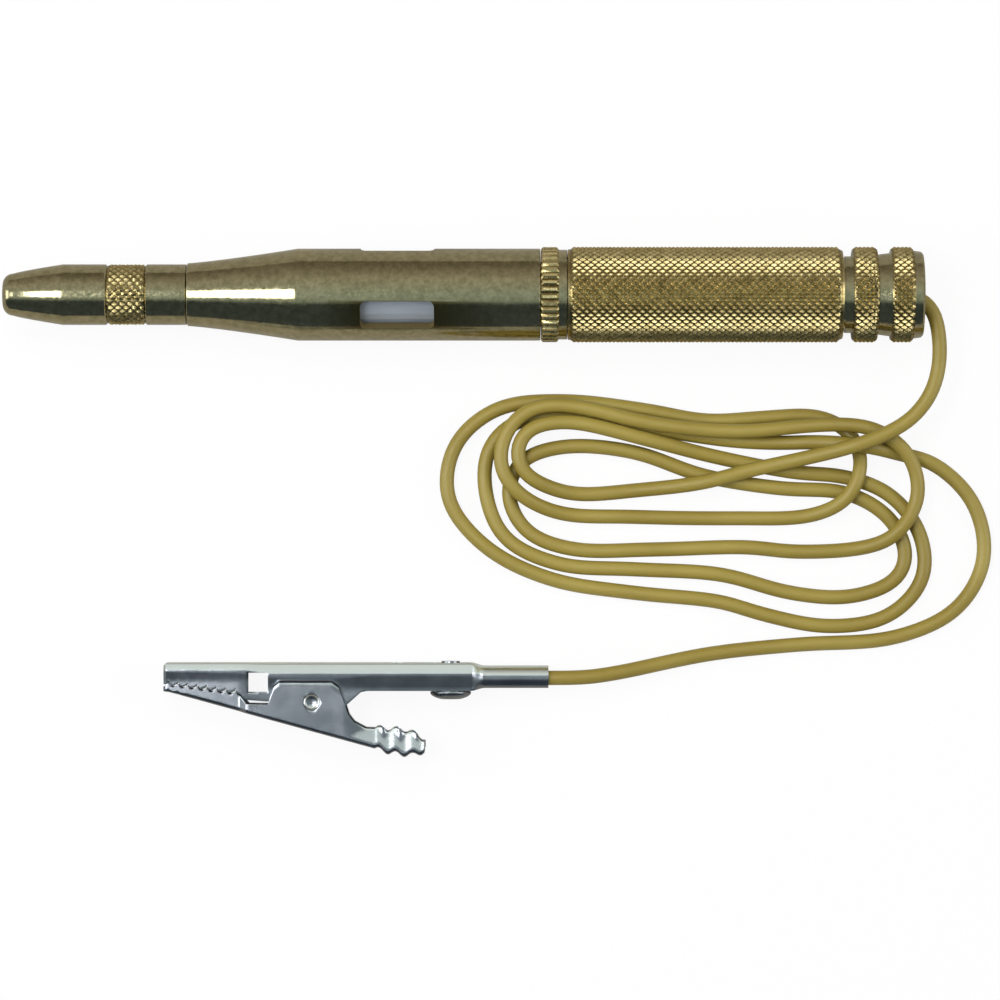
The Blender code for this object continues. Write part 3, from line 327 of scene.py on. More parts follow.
@dataclass(frozen=True)
class ClearSolid(Finish):
    """Clear glass or acrylic: it takes its look from what is behind it, with a faint tint and ripple; tube that
    has gone milky scatters part of the light."""

    ior: float = 1.5
    clear: float = 1.0
    ripple_size: float = 2.5
    ripple_height: float = 0.01

    def inputs(self, tree: bpy.types.NodeTree) -> Dict[str, Any]:
        """How clear it is, and the ripple of drawn tube."""
        ripple = bump(tree, noise(tree, self.ripple_size), self.ripple_height)
        return {"Transmission Weight": self.clear, "IOR": self.ior, "Normal": ripple}


@dataclass(frozen=True)
class MouldedNylon(Finish):
    """Natural nylon, moulded: milky, with light that sinks a little way in."""

    grain_size: float = 0.4
    grain_height: float = 0.006
    sink: Point = (0.6 * MM, 0.5 * MM, 0.4 * MM)  # how deep red, green and blue light goes in

    def inputs(self, tree: bpy.types.NodeTree) -> Dict[str, Any]:
        """The light in it, and the mould's fine grain."""
        grain = bump(tree, noise(tree, self.grain_size), self.grain_height)
        return {"Subsurface Weight": 0.15, "Subsurface Radius": self.sink, "Normal": grain}


BRASS = TurnedBrass("turned_brass", Slot.BRASS, "#ada483", 0.11, 1.0, ring_height=0.003)
# its groove colour is painted shade in the knurl bottoms; its crest colour is wear and painted highlight
KNURLED = TurnedBrass(
    "knurled_brass", Slot.BRASS, "#c0ae7c", 0.26, 1.0, "#7e6f48", "#e2d19a", "#8a7a4c",
    tarnish_size=1.1, speck_size=0.45, ring_height=0.009,
)
# the windows' cut walls: rough and matte as milled brass, and drawn pale as painted light on walls that lie in shade
MILLED_AND_LIT = TurnedBrass("milled_brass", Slot.BRASS, "#e6dab2", 0.6, 0.4, tarnish="#cfc49a")
# its fold gets a painted highlight on faces turned towards +Y
ZINC = PlatedSheet("zinc_plated_sheet", Slot.CLIP_STEEL, "#8a8c93", 0.22, 1.0)
NICKEL = DrawnWire("nickel_plated_wire", Slot.BRIGHT_STEEL, "#c9c8c2", 0.18, 1.0)
COPPER = DrawnWire("bare_copper_strand", Slot.COPPER, "#b87850", 0.3, 1.0)
TUNGSTEN = DrawnWire("tungsten_filament", Slot.BRIGHT_STEEL, "#8c8a86", 0.35, 1.0)
VINYL = SoftVinyl("mustard_soft_vinyl", Slot.VINYL, "#a29144", 0.45)
ACRYLIC = ClearSolid("milky_acrylic_tube", Slot.CLEAR_TUBE, "#dde6f0", 0.06, ior=1.49, clear=0.58)
LAMP_GLASS = ClearSolid("frosted_lamp_glass", Slot.GLASS, "#e6edf2", 0.2, clear=0.25, ripple_height=0.005)
NYLON = MouldedNylon("natural_nylon", Slot.NYLON, "#d8d4c8", 0.45)


# ---- pieces and meshes


def in_metres(*pairs: Pair) -> List[Pair]:
    """Pairs given in millimetres, in metres."""
    return [(a * MM, b * MM) for a, b in pairs]


def new_object(name: str, data: Optional[bpy.types.ID]) -> bpy.types.Object:
    """An object in the scene."""
    obj = bpy.data.objects.new(name, data)
    bpy.context.scene.collection.objects.link(obj)
    return obj


def add_piece(data: bpy.types.ID, finish: Finish, body: Optional[Body], *replaces: str) -> bpy.types.Object:
    """Adds a mesh or curve as a piece that rides on a body.

    Args:
        data: The mesh or curve, in world coordinates, with the piece's name.
        finish: Its finish.
        body: The body it rides on; None for a piece that spans two bodies.
        replaces: The nodes that it stands for.

    Returns:
        The new object.
    """
    obj = new_object(data.name, data)
    data.materials.append(finish.make())
    if isinstance(data, bpy.types.Mesh):
        data.shade_smooth()
        data.set_sharp_from_angle(angle=SMOOTH_ANGLE)
    if body:
        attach(obj, body.value)
    if replaces:
        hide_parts(*replaces)
    log.info("piece: %s", obj.name)
    return obj


def dress(node: str, finish: Finish) -> None:
    """Gives a node of the frame its finish."""
    obj = bpy.data.objects[node]
    if obj.material_slots:
        for place in obj.material_slots:
            place.material = finish.make()
    else:
        obj.data.materials.append(finish.make())
    log.info("dressed: %s", node)


def refinish(obj: bpy.types.Object, finish: Finish, where: Callable[[Vector], bool]) -> None:
    """Gives part of a piece a second finish.

    Args:
        obj: The piece.
        finish: The second finish.
        where: Says whether the face with this middle has it.
    """
    obj.data.materials.append(finish.make())
    for face in obj.data.polygons:
        if where(face.center):
            face.material_index = len(obj.data.materials) - 1


def closed_mesh(name: str, verts: Sequence[Sequence[float]], faces: Faces) -> bpy.types.Mesh:
    """A closed mesh whose faces all look outwards.

    Args:
        name: The mesh's name.
        verts: Its points.
        faces: Its faces, as indexes into the points.

    Returns:
        The mesh.
    """
    mesh = bpy.data.meshes.new(name)
    mesh.from_pydata(verts, [], faces)
    work = bmesh.new()
    work.from_mesh(mesh)
    bmesh.ops.recalc_face_normals(work, faces=work.faces)
    work.to_mesh(mesh)
    work.free()
    return mesh


def skin(rows: int, sides: int, joined: bool) -> Faces:
    """Faces over rings of points.

    Args:
        rows: How many rings there are.
        sides: Points in each ring.
        joined: Whether the last ring meets the first; otherwise both ends are capped.

    Returns:
        The faces, as indexes into the rings' points.
    """
    faces: Faces = []
    for i in range(rows if joined else rows - 1):
        j = (i + 1) % rows
        for k in range(sides):
            n = (k + 1) % sides
            faces.append((i * sides + k, i * sides + n, j * sides + n, j * sides + k))
    if not joined:
        faces += [tuple(reversed(range(sides))), tuple(range((rows - 1) * sides, rows * sides))]
    return faces


def tri(value: np.ndarray) -> np.ndarray:
    """A triangle wave: 0 at whole numbers and 1 half way between."""
    return 1.0 - 2.0 * np.abs(value - np.floor(value) - 0.5)


@dataclass
class Ring:
    """One ring of a turned piece: its place, its radius at each side and how much of a crest each point is."""

    x: float
    radii: np.ndarray
    crest: np.ndarray


def plain_rings(profile: Sequence[Pair], sides: int, crest: float = 0.5) -> List[Ring]:
    """Round rings through (place, radius) pairs."""
    return [Ring(x, np.full(sides, radius), np.full(sides, crest)) for x, radius in profile]


def turned(name: str, rings: Sequence[Ring], hollow: bool = True, axis_z: float = PEN_AXIS_Z) -> bpy.types.Mesh:
    """A mesh turned about X.

    Args:
        name: The mesh's name.
        rings: Its rings, in order.
        hollow: Whether the last ring joins the first; otherwise both ends are capped.
        axis_z: The axis's height.

    Returns:
        The mesh, with its crest values as a point attribute.
    """
    sides = len(rings[0].radii)
    angles = 2 * math.pi * np.arange(sides) / sides
    rows = [
        np.stack([np.full(sides, r.x), -r.radii * np.sin(angles), axis_z + r.radii * np.cos(angles)], 1)
        for r in rings
    ]
    mesh = closed_mesh(name, np.concatenate(rows).tolist(), skin(len(rings), sides, hollow))
    crest = mesh.attributes.new("crest", "FLOAT", "POINT")
    crest.data.foreach_set("value", np.concatenate([r.crest for r in rings]).astype(np.float32))
    return mesh


def rounded(profile: Sequence[Pair], radius: float) -> List[Pair]:
    """Rounds the corners of a profile between its two ends.

    Args:
        profile: Its corners, as (place on the axis, radius).
        radius: The rounding's radius, cut down where an edge is short.

    Returns:
        The profile with rounded corners.
    """
    points = [Vector(p) for p in profile]
    steps, slight = 3, math.radians(8)  # points in each rounding; a turn that needs none
    out: List[Pair] = [(points[0].x, points[0].y)]
    for before, here, after in zip(points, points[1:], points[2:]):
        to_before, to_after = before - here, after - here
        turn = math.pi - to_before.angle(to_after)
        if turn < slight:
            out.append((here.x, here.y))
            continue
        reach = min(radius * math.tan(turn / 2), to_before.length * 0.45, to_after.length * 0.45)
        a, b = here + to_before.normalized() * reach, here + to_after.normalized() * reach
        for step in range(steps + 1):
            t = step / steps
            point = a.lerp(here, t).lerp(here.lerp(b, t), t)
            out.append((point.x, point.y))
    return out + [(points[-1].x, points[-1].y)]


def tube_mesh(name: str, lines: Iterable[Sequence[Vector]], radius: float, sides: int) -> bpy.types.Mesh:
    """One mesh of a closed tube along each line, drawn with a frame that doesn't twist.

    Args:
        name: The mesh's name.
        lines: The centrelines.
        radius: The tubes' radius.
        sides: Points round a tube.

    Returns:
        The mesh.
    """
    verts: List[Point] = []
    faces: Faces = []
    angles = [2 * math.pi * k / sides for k in range(sides)]
    for line in lines:
        faces += [tuple(index + len(verts) for index in face) for face in skin(len(line), sides, False)]
        normal: Optional[Vector] = None
        for i, here in enumerate(line):
            ahead = (line[min(i + 1, len(line) - 1)] - line[max(i - 1, 0)]).normalized()
            if normal is None:
                normal = ahead.orthogonal().normalized()
            normal = (normal - ahead * normal.dot(ahead)).normalized()
            side = ahead.cross(normal)
            verts += [tuple(here + (normal * math.cos(a) + side * math.sin(a)) * radius) for a in angles]
    return closed_mesh(name, verts, faces)


def cutter(name: str, outline: Sequence[Vector], way: Vector, finish: Optional[Finish] = None) -> bpy.types.Object:
    """A Boolean cutter: the prism between an outline and its copy.

    Args:
        name: The cutter's name.
        outline: Its corners at one end.
        way: From there to its other end.
        finish: What goes on the walls that it cuts; None leaves them the piece's own finish.

    Returns:
        The cutter, for apply_cuts.
    """
    count = len(outline)
    verts = [tuple(p) for p in outline] + [tuple(p + way) for p in outline]
    faces: Faces = [tuple(range(count)), tuple(reversed(range(count, 2 * count)))]
    faces += [(i, count + i, count + (i + 1) % count, (i + 1) % count) for i in range(count)]
    mesh = closed_mesh(name, verts, faces)
    if finish:
        mesh.materials.append(finish.make())
    return new_object(name, mesh)


def apply_cuts(obj: bpy.types.Object, cutters: Sequence[bpy.types.Object], bevel: float) -> None:
    """Cuts a piece, breaks its sharp edges and bakes the result into its mesh.

    Args:
        obj: The piece.
        cutters: What is taken out of it; they are removed afterwards.
        bevel: The width of the broken edges.
    """
    for each in cutters:
        cut = obj.modifiers.new(each.name, "BOOLEAN")
        cut.operation, cut.object = "DIFFERENCE", each
        cut.material_mode = "TRANSFER" if each.data.materials else "INDEX"
    edge = obj.modifiers.new("broken_edges", "BEVEL")
    edge.width, edge.segments, edge.limit_method, edge.angle_limit = bevel, 2, "ANGLE", BEVEL_ANGLE
    graph = bpy.context.evaluated_depsgraph_get()
    baked = bpy.data.meshes.new_from_object(obj.evaluated_get(graph), depsgraph=graph)
    obj.modifiers.clear()
    obj.data = baked
    baked.shade_smooth()
    baked.set_sharp_from_angle(angle=SMOOTH_ANGLE)
    obj.modifiers.new("flat_faces_stay_flat", "WEIGHTED_NORMAL").keep_sharp = True
    for each in cutters:
        bpy.data.objects.remove(each, do_unlink=True)


# ---- studio


@dataclass(frozen=True)
class SoftBox:
    """One area light: its place, what it points at, its size across and along, and its power."""

    name: str
    place: Point
    aim: Point
    size: Pair
    power: float
    mirrored: bool = True  # whether polished metal shows it

    def build(self) -> None:
        """Adds the light."""
        light = bpy.data.lights.new(self.name, "AREA")
        light.shape, light.size, light.size_y = "RECTANGLE", *self.size
        light.energy = self.power
        obj = new_object(self.name, light)
        obj.location = self.place
        obj.rotation_euler = (Vector(self.aim) - Vector(self.place)).to_track_quat("-Z", "Y").to_euler()
        obj.visible_glossy = self.mirrored


@dataclass
class Studio:
    """Camera, floor, lamps and surroundings."""

    frame_width: float = 130.5 * MM
    centre: Pair = (4.86 * MM, -26.8 * MM)
    lens: float = 200.0
    sensor: float = 36.0
    floor_size: float = 3.0
    floor_drop: float = 0.05 * MM
    floor_share: float = 0.92  # how much of the floor's white comes from itself
    fill: str = "#8c8c8c"
    # what polished metal mirrors, from straight in front (0) over the top (0.5) to straight behind (1)
    mirrored: Tuple[Tuple[float, str], ...] = (
        (0.0, "#525c64"), (0.27, "#4c575e"), (0.36, "#b6c6c6"), (0.5, "#c2d2d2"),
        (0.8, "#cfccc4"), (0.94, "#a8a298"), (1.0, "#867f72"),
    )
    boxes: Tuple[SoftBox, ...] = (
        SoftBox("strip_over_the_nose", (-0.235, 0.0, 0.6), (-0.03, 0.0, 0.0), (0.24, 0.2), 1.35),
        SoftBox("softbox_left", (-0.6, 0.0, 0.35), (0.0, 0.0, 0.0), (0.4, 0.4), 1.5),
        SoftBox("softbox_right", (0.6, 0.0, 0.35), (0.0, 0.0, 0.0), (0.4, 0.4), 1.5),
        SoftBox("top_light", (-0.15, 0.45, 0.9), (0.0, -0.03, 0.0), (0.5, 0.5), 3.2, mirrored=False),
    )

    def camera(self) -> None:
        """Looks straight down, far away, on the photograph's frame."""
        data = bpy.data.cameras.new("camera")
        data.lens, data.sensor_width = self.lens, self.sensor
        data.clip_start, data.clip_end = 0.01, 20.0
        obj = new_object("camera", data)
        obj.location = (*self.centre, self.frame_width * self.lens / self.sensor + PEN_AXIS_Z)
        bpy.context.scene.camera = obj

    def floor(self) -> None:
        """A white floor that keeps a pale shadow; polished metal mirrors it as grey paper."""
        half = self.floor_size / 2
        mesh = bpy.data.meshes.new("floor")
        corners = [(-half, -half, 0), (half, -half, 0), (half, half, 0), (-half, half, 0)]
        mesh.from_pydata(corners, [], [(0, 1, 2, 3)])
        obj = new_object("floor", mesh)
        obj.location = (0, 0, -self.floor_drop)
        made = bpy.data.materials.new("white_paper_floor")
        made.use_nodes = True
        tree = made.node_tree
        tree.nodes.clear()
        path = add_node(tree, "ShaderNodeLightPath").outputs
        paper = mix(tree, path["Is Glossy Ray"], "#f6f6f6", "#b8b4aa")
        matte = add_node(tree, "ShaderNodeBsdfDiffuse", {}, {"Color": paper}).outputs[0]
        glow = add_node(tree, "ShaderNodeEmission", {"Strength": 1.0}).outputs[0]
        share = span(tree, path["Is Camera Ray"], (0.0, self.floor_share))
        both = add_node(tree, "ShaderNodeMixShader", {}, {0: share, 1: matte, 2: glow}).outputs[0]
        add_node(tree, "ShaderNodeOutputMaterial", {}, {"Surface": both})
        mesh.materials.append(made)

    def world(self) -> None:
        """Plain grey fill for dull surfaces, a room with a dark front for polished ones, white for the camera."""
        world = bpy.data.worlds.new("studio")
        bpy.context.scene.world = world
        world.use_nodes = True
        tree = world.node_tree
        tree.nodes.clear()
        way = add_node(tree, "ShaderNodeTexCoord").outputs["Generated"]
        back = add_node(tree, "ShaderNodeSeparateXYZ", {}, {"Vector": way}).outputs["Y"]
        share = span(tree, back, (0.0, 1.0), (-1.0, 1.0))
        room = add_node(tree, "ShaderNodeValToRGB", {"stops": self.mirrored}, {"Fac": share}).outputs["Color"]
        path = add_node(tree, "ShaderNodeLightPath").outputs
        lit = mix(tree, path["Is Glossy Ray"], self.fill, room)
        seen = mix(tree, path["Is Camera Ray"], lit, "#ffffff")
        sky = add_node(tree, "ShaderNodeBackground", {"Strength": 1.0}, {"Color": seen}).outputs["Background"]
        add_node(tree, "ShaderNodeOutputWorld", {}, {"Surface": sky})

    def build(self) -> None:
        """Sets up the floor, the surroundings and the lamps."""
        bpy.context.scene.view_settings.view_transform = "Standard"
        self.floor()
        self.world()
        for box in self.boxes:
            box.build()


# ---- the lead


def smooth_curve(points: Sequence[Vector], steps: int) -> List[Vector]:
    """A centripetal Catmull-Rom curve through the points.

    Args:
        points: The points it passes through.
        steps: Points read from each stretch.

    Returns:
        The curve's points.
    """
    held = [2 * points[0] - points[1], *points, 2 * points[-1] - points[-2]]
    line: List[Vector] = []
    for before, start, end, after in zip(held, held[1:], held[2:], held[3:]):
        t1 = math.sqrt((start - before).length)
        t2 = t1 + math.sqrt((end - start).length)
        t3 = t2 + math.sqrt((after - end).length)
        for step in range(steps):
            t = t1 + (t2 - t1) * step / steps
            a = before.lerp(start, t / t1)
            b = start.lerp(end, (t - t1) / (t2 - t1))
            c = end.lerp(after, (t - t2) / (t3 - t2))
            line.append(a.lerp(b, t / t2).lerp(b.lerp(c, (t - t1) / (t3 - t1)), (t - t1) / (t2 - t1)))
    line.append(points[-1])
    return line


def evenly_spaced(line: Sequence[Vector], spacing: float) -> np.ndarray:
    """Points of a line at even distances."""
    array = np.array([tuple(p) for p in line])
    along = np.concatenate([[0], np.cumsum(np.linalg.norm(np.diff(array, axis=0), axis=1))])
    at = np.linspace(0, along[-1], max(2, round(along[-1] / spacing)))
    return np.stack([np.interp(at, along, array[:, k]) for k in range(3)], 1)


@dataclass
class Lead:
    """The soft lead, from the pen's end to the clip's barrel."""

    diameter: float = 1.9 * MM
    spacing: float = 0.8 * MM
    curve_steps: int = 12  # points read between two points of the route
    eased: int = 6  # rounds of easing that take out the last unevenness of the bends
    exit: Point = (60.0 * MM, -0.35 * MM, 6.25 * MM)
    # in millimetres, from the terminal in the handle to the clip
    route: Tuple[Point, ...] = (
        (44.6, 0, 6.25), (48, 0, 6.25), (53, 0, 6.25), (57.9, 0, 6.25), (59.45, -0.3, 6.25),
        (60.75, -1.15, 6.2), (61.65, -2.45, 6.2), (62, -4.1, 6.15), (62.3, -6.6, 6.1), (62.2, -9.2, 6),
        (61.3, -12.6, 6), (58.8, -16, 5.9), (55.2, -18.2, 5.85), (50.5, -19.9, 5.8), (44, -21.5, 3.6),
        (38, -22.8, 2.85), (31.5, -24.5, 2.8), (23, -25.5, 1), (14.5, -26, 0.95), (9.7, -24.45, 2.6),
        (7.8, -23.1, 2.85), (7.03, -20.95, 2.85), (7.5, -18.7, 2.85), (9.2, -17.15, 2.85), (10.9, -16.75, 2.85),
        (13.2, -16.5, 2.85), (16, -16.8, 2.85), (24, -18.8, 2.5), (33.5, -21.2, 0.95), (44, -23.2, 0.95),
        (50, -23.7, 0.95), (56, -26, 0.95), (60, -31, 0.95), (60.5, -37, 0.95), (56, -42, 0.95),
        (48, -43.4, 0.95), (39, -41.7, 0.95), (34, -40.2, 0.95), (22.5, -39, 0.95), (11.5, -37.2, 0.95),
        (3, -33, 0.95), (-2, -26.5, 0.95), (-1, -19.5, 0.95), (4.5, -14.8, 0.95), (13, -13.8, 0.95),
        (24, -15, 0.95), (32, -16.4, 0.95), (39.5, -16, 0.95), (46.5, -15.8, 0.95), (50.2, -17.4, 1.3),
        (52, -20, 1.8), (52.1, -23.2, 2.85), (50.4, -26.6, 2.75), (46, -28.8, 1.1), (35.5, -29.2, 0.95),
        (22, -29, 0.95), (12.5, -28.5, 1.1), (7, -25.7, 2.85), (4.9, -22.3, 2.85), (5.7, -17.8, 2.85),
        (9, -14.75, 2.85), (14, -14.4, 2.85), (24, -16.6, 2.85), (35.5, -17.8, 2.85), (46, -17, 3),
        (50, -16.9, 3.4), (54.2, -17.6, 3.8), (58.5, -21, 3.5), (59.7, -26.5, 2.9), (56.7, -31.4, 2.85),
        (53, -33, 1.2), (43.5, -33.6, 0.95), (37.5, -33, 0.95), (25, -33.3, 0.95), (14, -33.2, 0.95),
        (8.2, -30.8, 0.95), (5.9, -26, 0.95), (7.5, -21.8, 0.95), (13, -19.8, 0.95), (22.5, -20.5, 0.95),
        (31.5, -23.6, 0.95), (42, -25.3, 0.95), (50.5, -25.9, 0.95), (56.1, -29.2, 0.95), (58.3, -34, 0.95),
        (57, -37.2, 0.95), (51, -39.5, 0.95), (43, -39, 0.95), (34, -36.6, 0.95), (22.5, -35.9, 0.95),
        (12.5, -35.2, 0.95), (5.4, -31.7, 0.95), (2.9, -25.5, 0.95), (3.4, -20, 0.95), (7, -16.5, 0.95),
        (14, -15.8, 0.95), (24.5, -17.4, 0.95), (35.5, -19, 0.95), (42, -19.3, 1.1), (45.4, -19.2, 2),
        (48.6, -19.3, 3.2), (51.7, -19.6, 3.8), (54.8, -20.1, 3), (57.8, -20.9, 1.6), (61.5, -21.8, 0.95),
        (67, -27, 0.95), (68.5, -34.5, 0.95), (65, -41, 0.95), (57, -44.8, 0.95), (44, -45.8, 0.95),
        (32.5, -47, 1.1), (20.5, -49.4, 2.9), (16.5, -50, 3.4), (13.5, -50.1, 3.5), (11, -50.1, 3.5),
        (3.6, -50.1, 3.5),
    )

    def line(self) -> np.ndarray:
        """The centreline, smooth and nowhere below the plane that it lies on."""
        line = smooth_curve([Vector(point) * MM for point in self.route], self.curve_steps)
        line = evenly_spaced(line, self.spacing)
        for _ in range(self.eased):
            line[1:-1] = line[1:-1] * 0.5 + (line[:-2] + line[2:]) * 0.25
        line[:, 2] = np.maximum(line[:, 2], self.diameter / 2)
        return line

    def build(self) -> bpy.types.Object:
        """Draws the lead.

        Returns:
            The lead's curve.
        """
        line = self.line()
        curve = bpy.data.curves.new("vinyl_lead", "CURVE")
        curve.dimensions, curve.use_fill_caps = "3D", True
        curve.bevel_depth, curve.bevel_resolution = self.diameter / 2, 4
        spline = curve.splines.new("POLY")
        spline.points.add(len(line) - 1)
        spline.points.foreach_set("co", np.hstack([line, np.ones((len(line), 1))]).ravel())
        spline.use_smooth = True
        return add_piece(curve, VINYL, Body.PEN, "lead")

    def length(self) -> float:
        """The length of the centreline."""
        return float(np.linalg.norm(np.diff(self.line(), axis=0), axis=1).sum())


# ---- the pen


@dataclass(frozen=True)
class Knurl:
    """A diamond knurl: columns round the piece, depth, and points to a pitch."""

    columns: int
    depth: float
    samples: int = 6
    flat: float = 0.78  # crests are cut flat from this share of the full height

    @property
    def sides(self) -> int:
        """Points round a knurled piece."""
        return self.columns * self.samples

    def rings(self, start: float, end: float, radius: float) -> List[Ring]:
        """The rings of a knurled band.

        Args:
            start: Where it begins on the axis.
            end: Where it ends.
            radius: Over its crests.

        Returns:
            Its rings.
        """
        pitch = 2 * math.pi * radius / self.columns
        rows = max(2, round((end - start) / pitch * self.samples))
        side = np.arange(self.sides) / self.samples
        out = []
        for row in range(rows + 1):
            x = start + (end - start) * row / rows
            v = (x - start) / pitch
            height = np.minimum(np.minimum(tri(side + v), tri(side - v)) / self.flat, 1.0)
            height = height * max(0.0, min(1.0, (x - start) / self.depth, (end - x) / self.depth))
            out.append(Ring(x, radius - self.depth + self.depth * height, height))
        return out


@dataclass
class Pen:
    """The probe pen: guard, needle, front tube with windows, lamp, coupling, handle and rear cap."""

    gap: float = 0.3 * MM
    edge: float = 0.08 * MM  # how far a turned edge is broken
    wide_edge: float = 0.1 * MM
    cap_start: float = -60.0 * MM
    cap_end: float = -36.0 * MM
    cap_radius: float = 3.95 * MM
    cap_nose_radius: float = 2.75 * MM
    cap_nose_round: float = 1.35 * MM
    cap_taper: float = 7.8 * MM
    cap_taper_swell: float = 0.85
    cap_taper_edge: float = 0.12 * MM  # a ring right behind the taper keeps its light off the plain part
    cap_knurl: Pair = (-46.3 * MM, -41.4 * MM)
    cap_end_wall: float = 2.6 * MM
    guard_bore: float = 1.8 * MM
    spigot_start: float = -41.9 * MM
    spigot_radius: float = 2.7 * MM
    threads: int = 9
    thread_depth: float = 0.22 * MM
    thread_ends: Pair = (0.3 * MM, 0.7 * MM)  # the spigot's plain lengths before and behind the threads
    thread_relief: float = 0.5 * MM
    needle_bore: float = 1.9 * MM
    cone_start: float = -35.9 * MM
    cone_end: float = -21.5 * MM
    cone_start_radius: float = 4.1 * MM
    cone_swell: float = 1.2
    barrel_end: float = 10.12 * MM
    barrel_radius: float = 6.0 * MM
    barrel_bore: float = 4.5 * MM
    barrel_sides: int = 128
    lamp_bore_start: float = -24.5 * MM
    windows: int = 3
    window_centre: float = -8.5 * MM
    window_size: Pair = (9.6 * MM, 4.0 * MM)
    window_corner: float = 0.8 * MM
    window_turn: float = math.radians(-30)
    window_edge: float = 0.07 * MM
    coupling: Pair = (3.4 * MM, 19.9 * MM)
    coupling_bores: Tuple[Pair, ...] = ((9.7, 3.5), (19.9, 3.2))  # (to this place, radius) in millimetres
    ring_start: float = 10.2 * MM
    ring_end: float = 12.5 * MM
    ring_radius: float = 6.2 * MM
    ring_edge: float = 0.25 * MM
    flutes: int = 40
    flute_depth: float = 0.28 * MM
    flute_flat: float = 1.5  # how much the flutes' wave is stretched before its crests are cut flat
    collar_end: float = 13.62 * MM
    collar_radius: float = 5.85 * MM
    handle: Pair = (13.7 * MM, 49.5 * MM)
    handle_radius: float = 6.25 * MM
    handle_bore: float = 5.0 * MM
    handle_edge: float = 0.35 * MM
    handle_drop: float = 0.15 * MM  # how far its rear end is turned down
    neck_end: float = 50.8 * MM
    groove: Pair = (54.0 * MM, 55.8 * MM)
    groove_radii: Pair = (5.2 * MM, 5.45 * MM)
    band_end: float = 58.7 * MM
    # the rear cap's corners in millimetres, as (place, radius): its sleeve before, its end and bore behind
    sleeve_start: float = 43.9 * MM
    rear_end: Tuple[Pair, ...] = (
        (58.75, 5.75), (59.75, 5.6), (60.0, 5.35), (60.0, 2.55), (59.7, 2.3), (57.4, 1.25), (57.4, 2.5), (43.9, 2.5),
    )
    needle: Tuple[Pair, ...] = (
        (-55.9, 0.05), (-55.4, 0.32), (-51.9, 0.9), (-22.1, 0.9), (-22.1, 2.0), (-21.1, 2.0),
    )
    lamp: Pair = (-14.7 * MM, 3.3 * MM)
    lamp_lap: float = 1.5 * MM  # how far its rounded ends reach
    lamp_shoulder: float = 0.3 * MM
    lamp_radius: float = 3.0 * MM
    lamp_wall: float = 0.45 * MM
    # the rounded ends' radius, as shares of the full one: at the tip, what the round adds, and over all
    lamp_round: Point = (0.35, 0.65, 0.9)
    lamp_sides: int = 64
    lamp_tips: Pair = (-20.8 * MM, 9.4 * MM)
    # the lamp's caps in millimetres, as (way in from the tip, radius)
    lamp_cap: Tuple[Pair, ...] = (
        (0.0, 0.95), (0.5, 1.1), (1.3, 2.3), (1.7, 3.1), (2.0, 3.15), (7.6, 3.15), (7.6, 3.0), (5.8, 3.0),
    )
    lamp_cap_edge: float = 0.05 * MM
    coil_half: float = 5.5 * MM
    coil_radius: float = 0.22 * MM
    coil_turns: int = 24
    coil_points: int = 240
    filament_radius: float = 0.05 * MM
    # a support's foot and bend in millimetres, as (way from the lamp's middle, way to the side)
    supports: Tuple[Pair, ...] = ((8.2, 0.5), (6.6, 0.4))
    support_radius: float = 0.16 * MM
    small_sides: int = 48
    knurl: Knurl = Knurl(38, 0.35 * MM)
    cap_knurling: Knurl = Knurl(24, 0.25 * MM)

    def brass(self, name: str, node: str, rings: List[Ring]) -> bpy.types.Object:
        """Adds one of the hollow brass turnings."""
        return add_piece(turned(name, rings), KNURLED, Body.PEN, node)

    def ogive(self) -> List[Pair]:
        """The guard's rounded nose and taper, as (place, radius)."""
        points, round_steps, taper_steps = [], 8, 14
        for step in range(round_steps + 1):
            angle = math.pi / 2 * step / round_steps
            x = self.cap_start + self.cap_nose_round * (1 - math.cos(angle))
            points.append((x, self.cap_nose_radius - self.cap_nose_round * (1 - math.sin(angle))))
        for step in range(1, taper_steps + 1):
            share = step / taper_steps
            x = self.cap_start + self.cap_nose_round + share * (self.cap_taper - self.cap_nose_round)
            swell = share**self.cap_taper_swell * (self.cap_radius - self.cap_nose_radius)
            points.append((x, self.cap_nose_radius + swell))
        return points + [(self.cap_start + self.cap_taper + self.cap_taper_edge, self.cap_radius)]

    def build_guard(self) -> None:
        """The needle guard, with its rounded nose and knurled band."""
        (start, end), depth, sides = self.cap_knurl, self.cap_knurling.depth, self.cap_knurling.sides
        thread = self.spigot_radius + self.gap
        rings = plain_rings([*self.ogive(), (start - depth, self.cap_radius)], sides)
        rings += self.cap_knurling.rings(start, end, self.cap_radius)
        rings += plain_rings(
            (
                (end + depth, self.cap_radius), (self.cap_end - self.edge, self.cap_radius),
                (self.cap_end, self.cap_radius - self.edge), (self.cap_end, thread),
                (self.spigot_start - self.gap, thread), (self.spigot_start - self.gap, self.guard_bore),
                (self.cap_start + self.cap_end_wall, self.guard_bore),
            ),
            sides,
        )
        cap = add_piece(turned("needle_guard_cap", rings, hollow=False), BRASS, Body.GUARD, "needle_cap")
        inside = thread + self.wide_edge
        refinish(cap, KNURLED, lambda at: start < at.x < end and math.hypot(at.y, at.z - PEN_AXIS_Z) > inside)

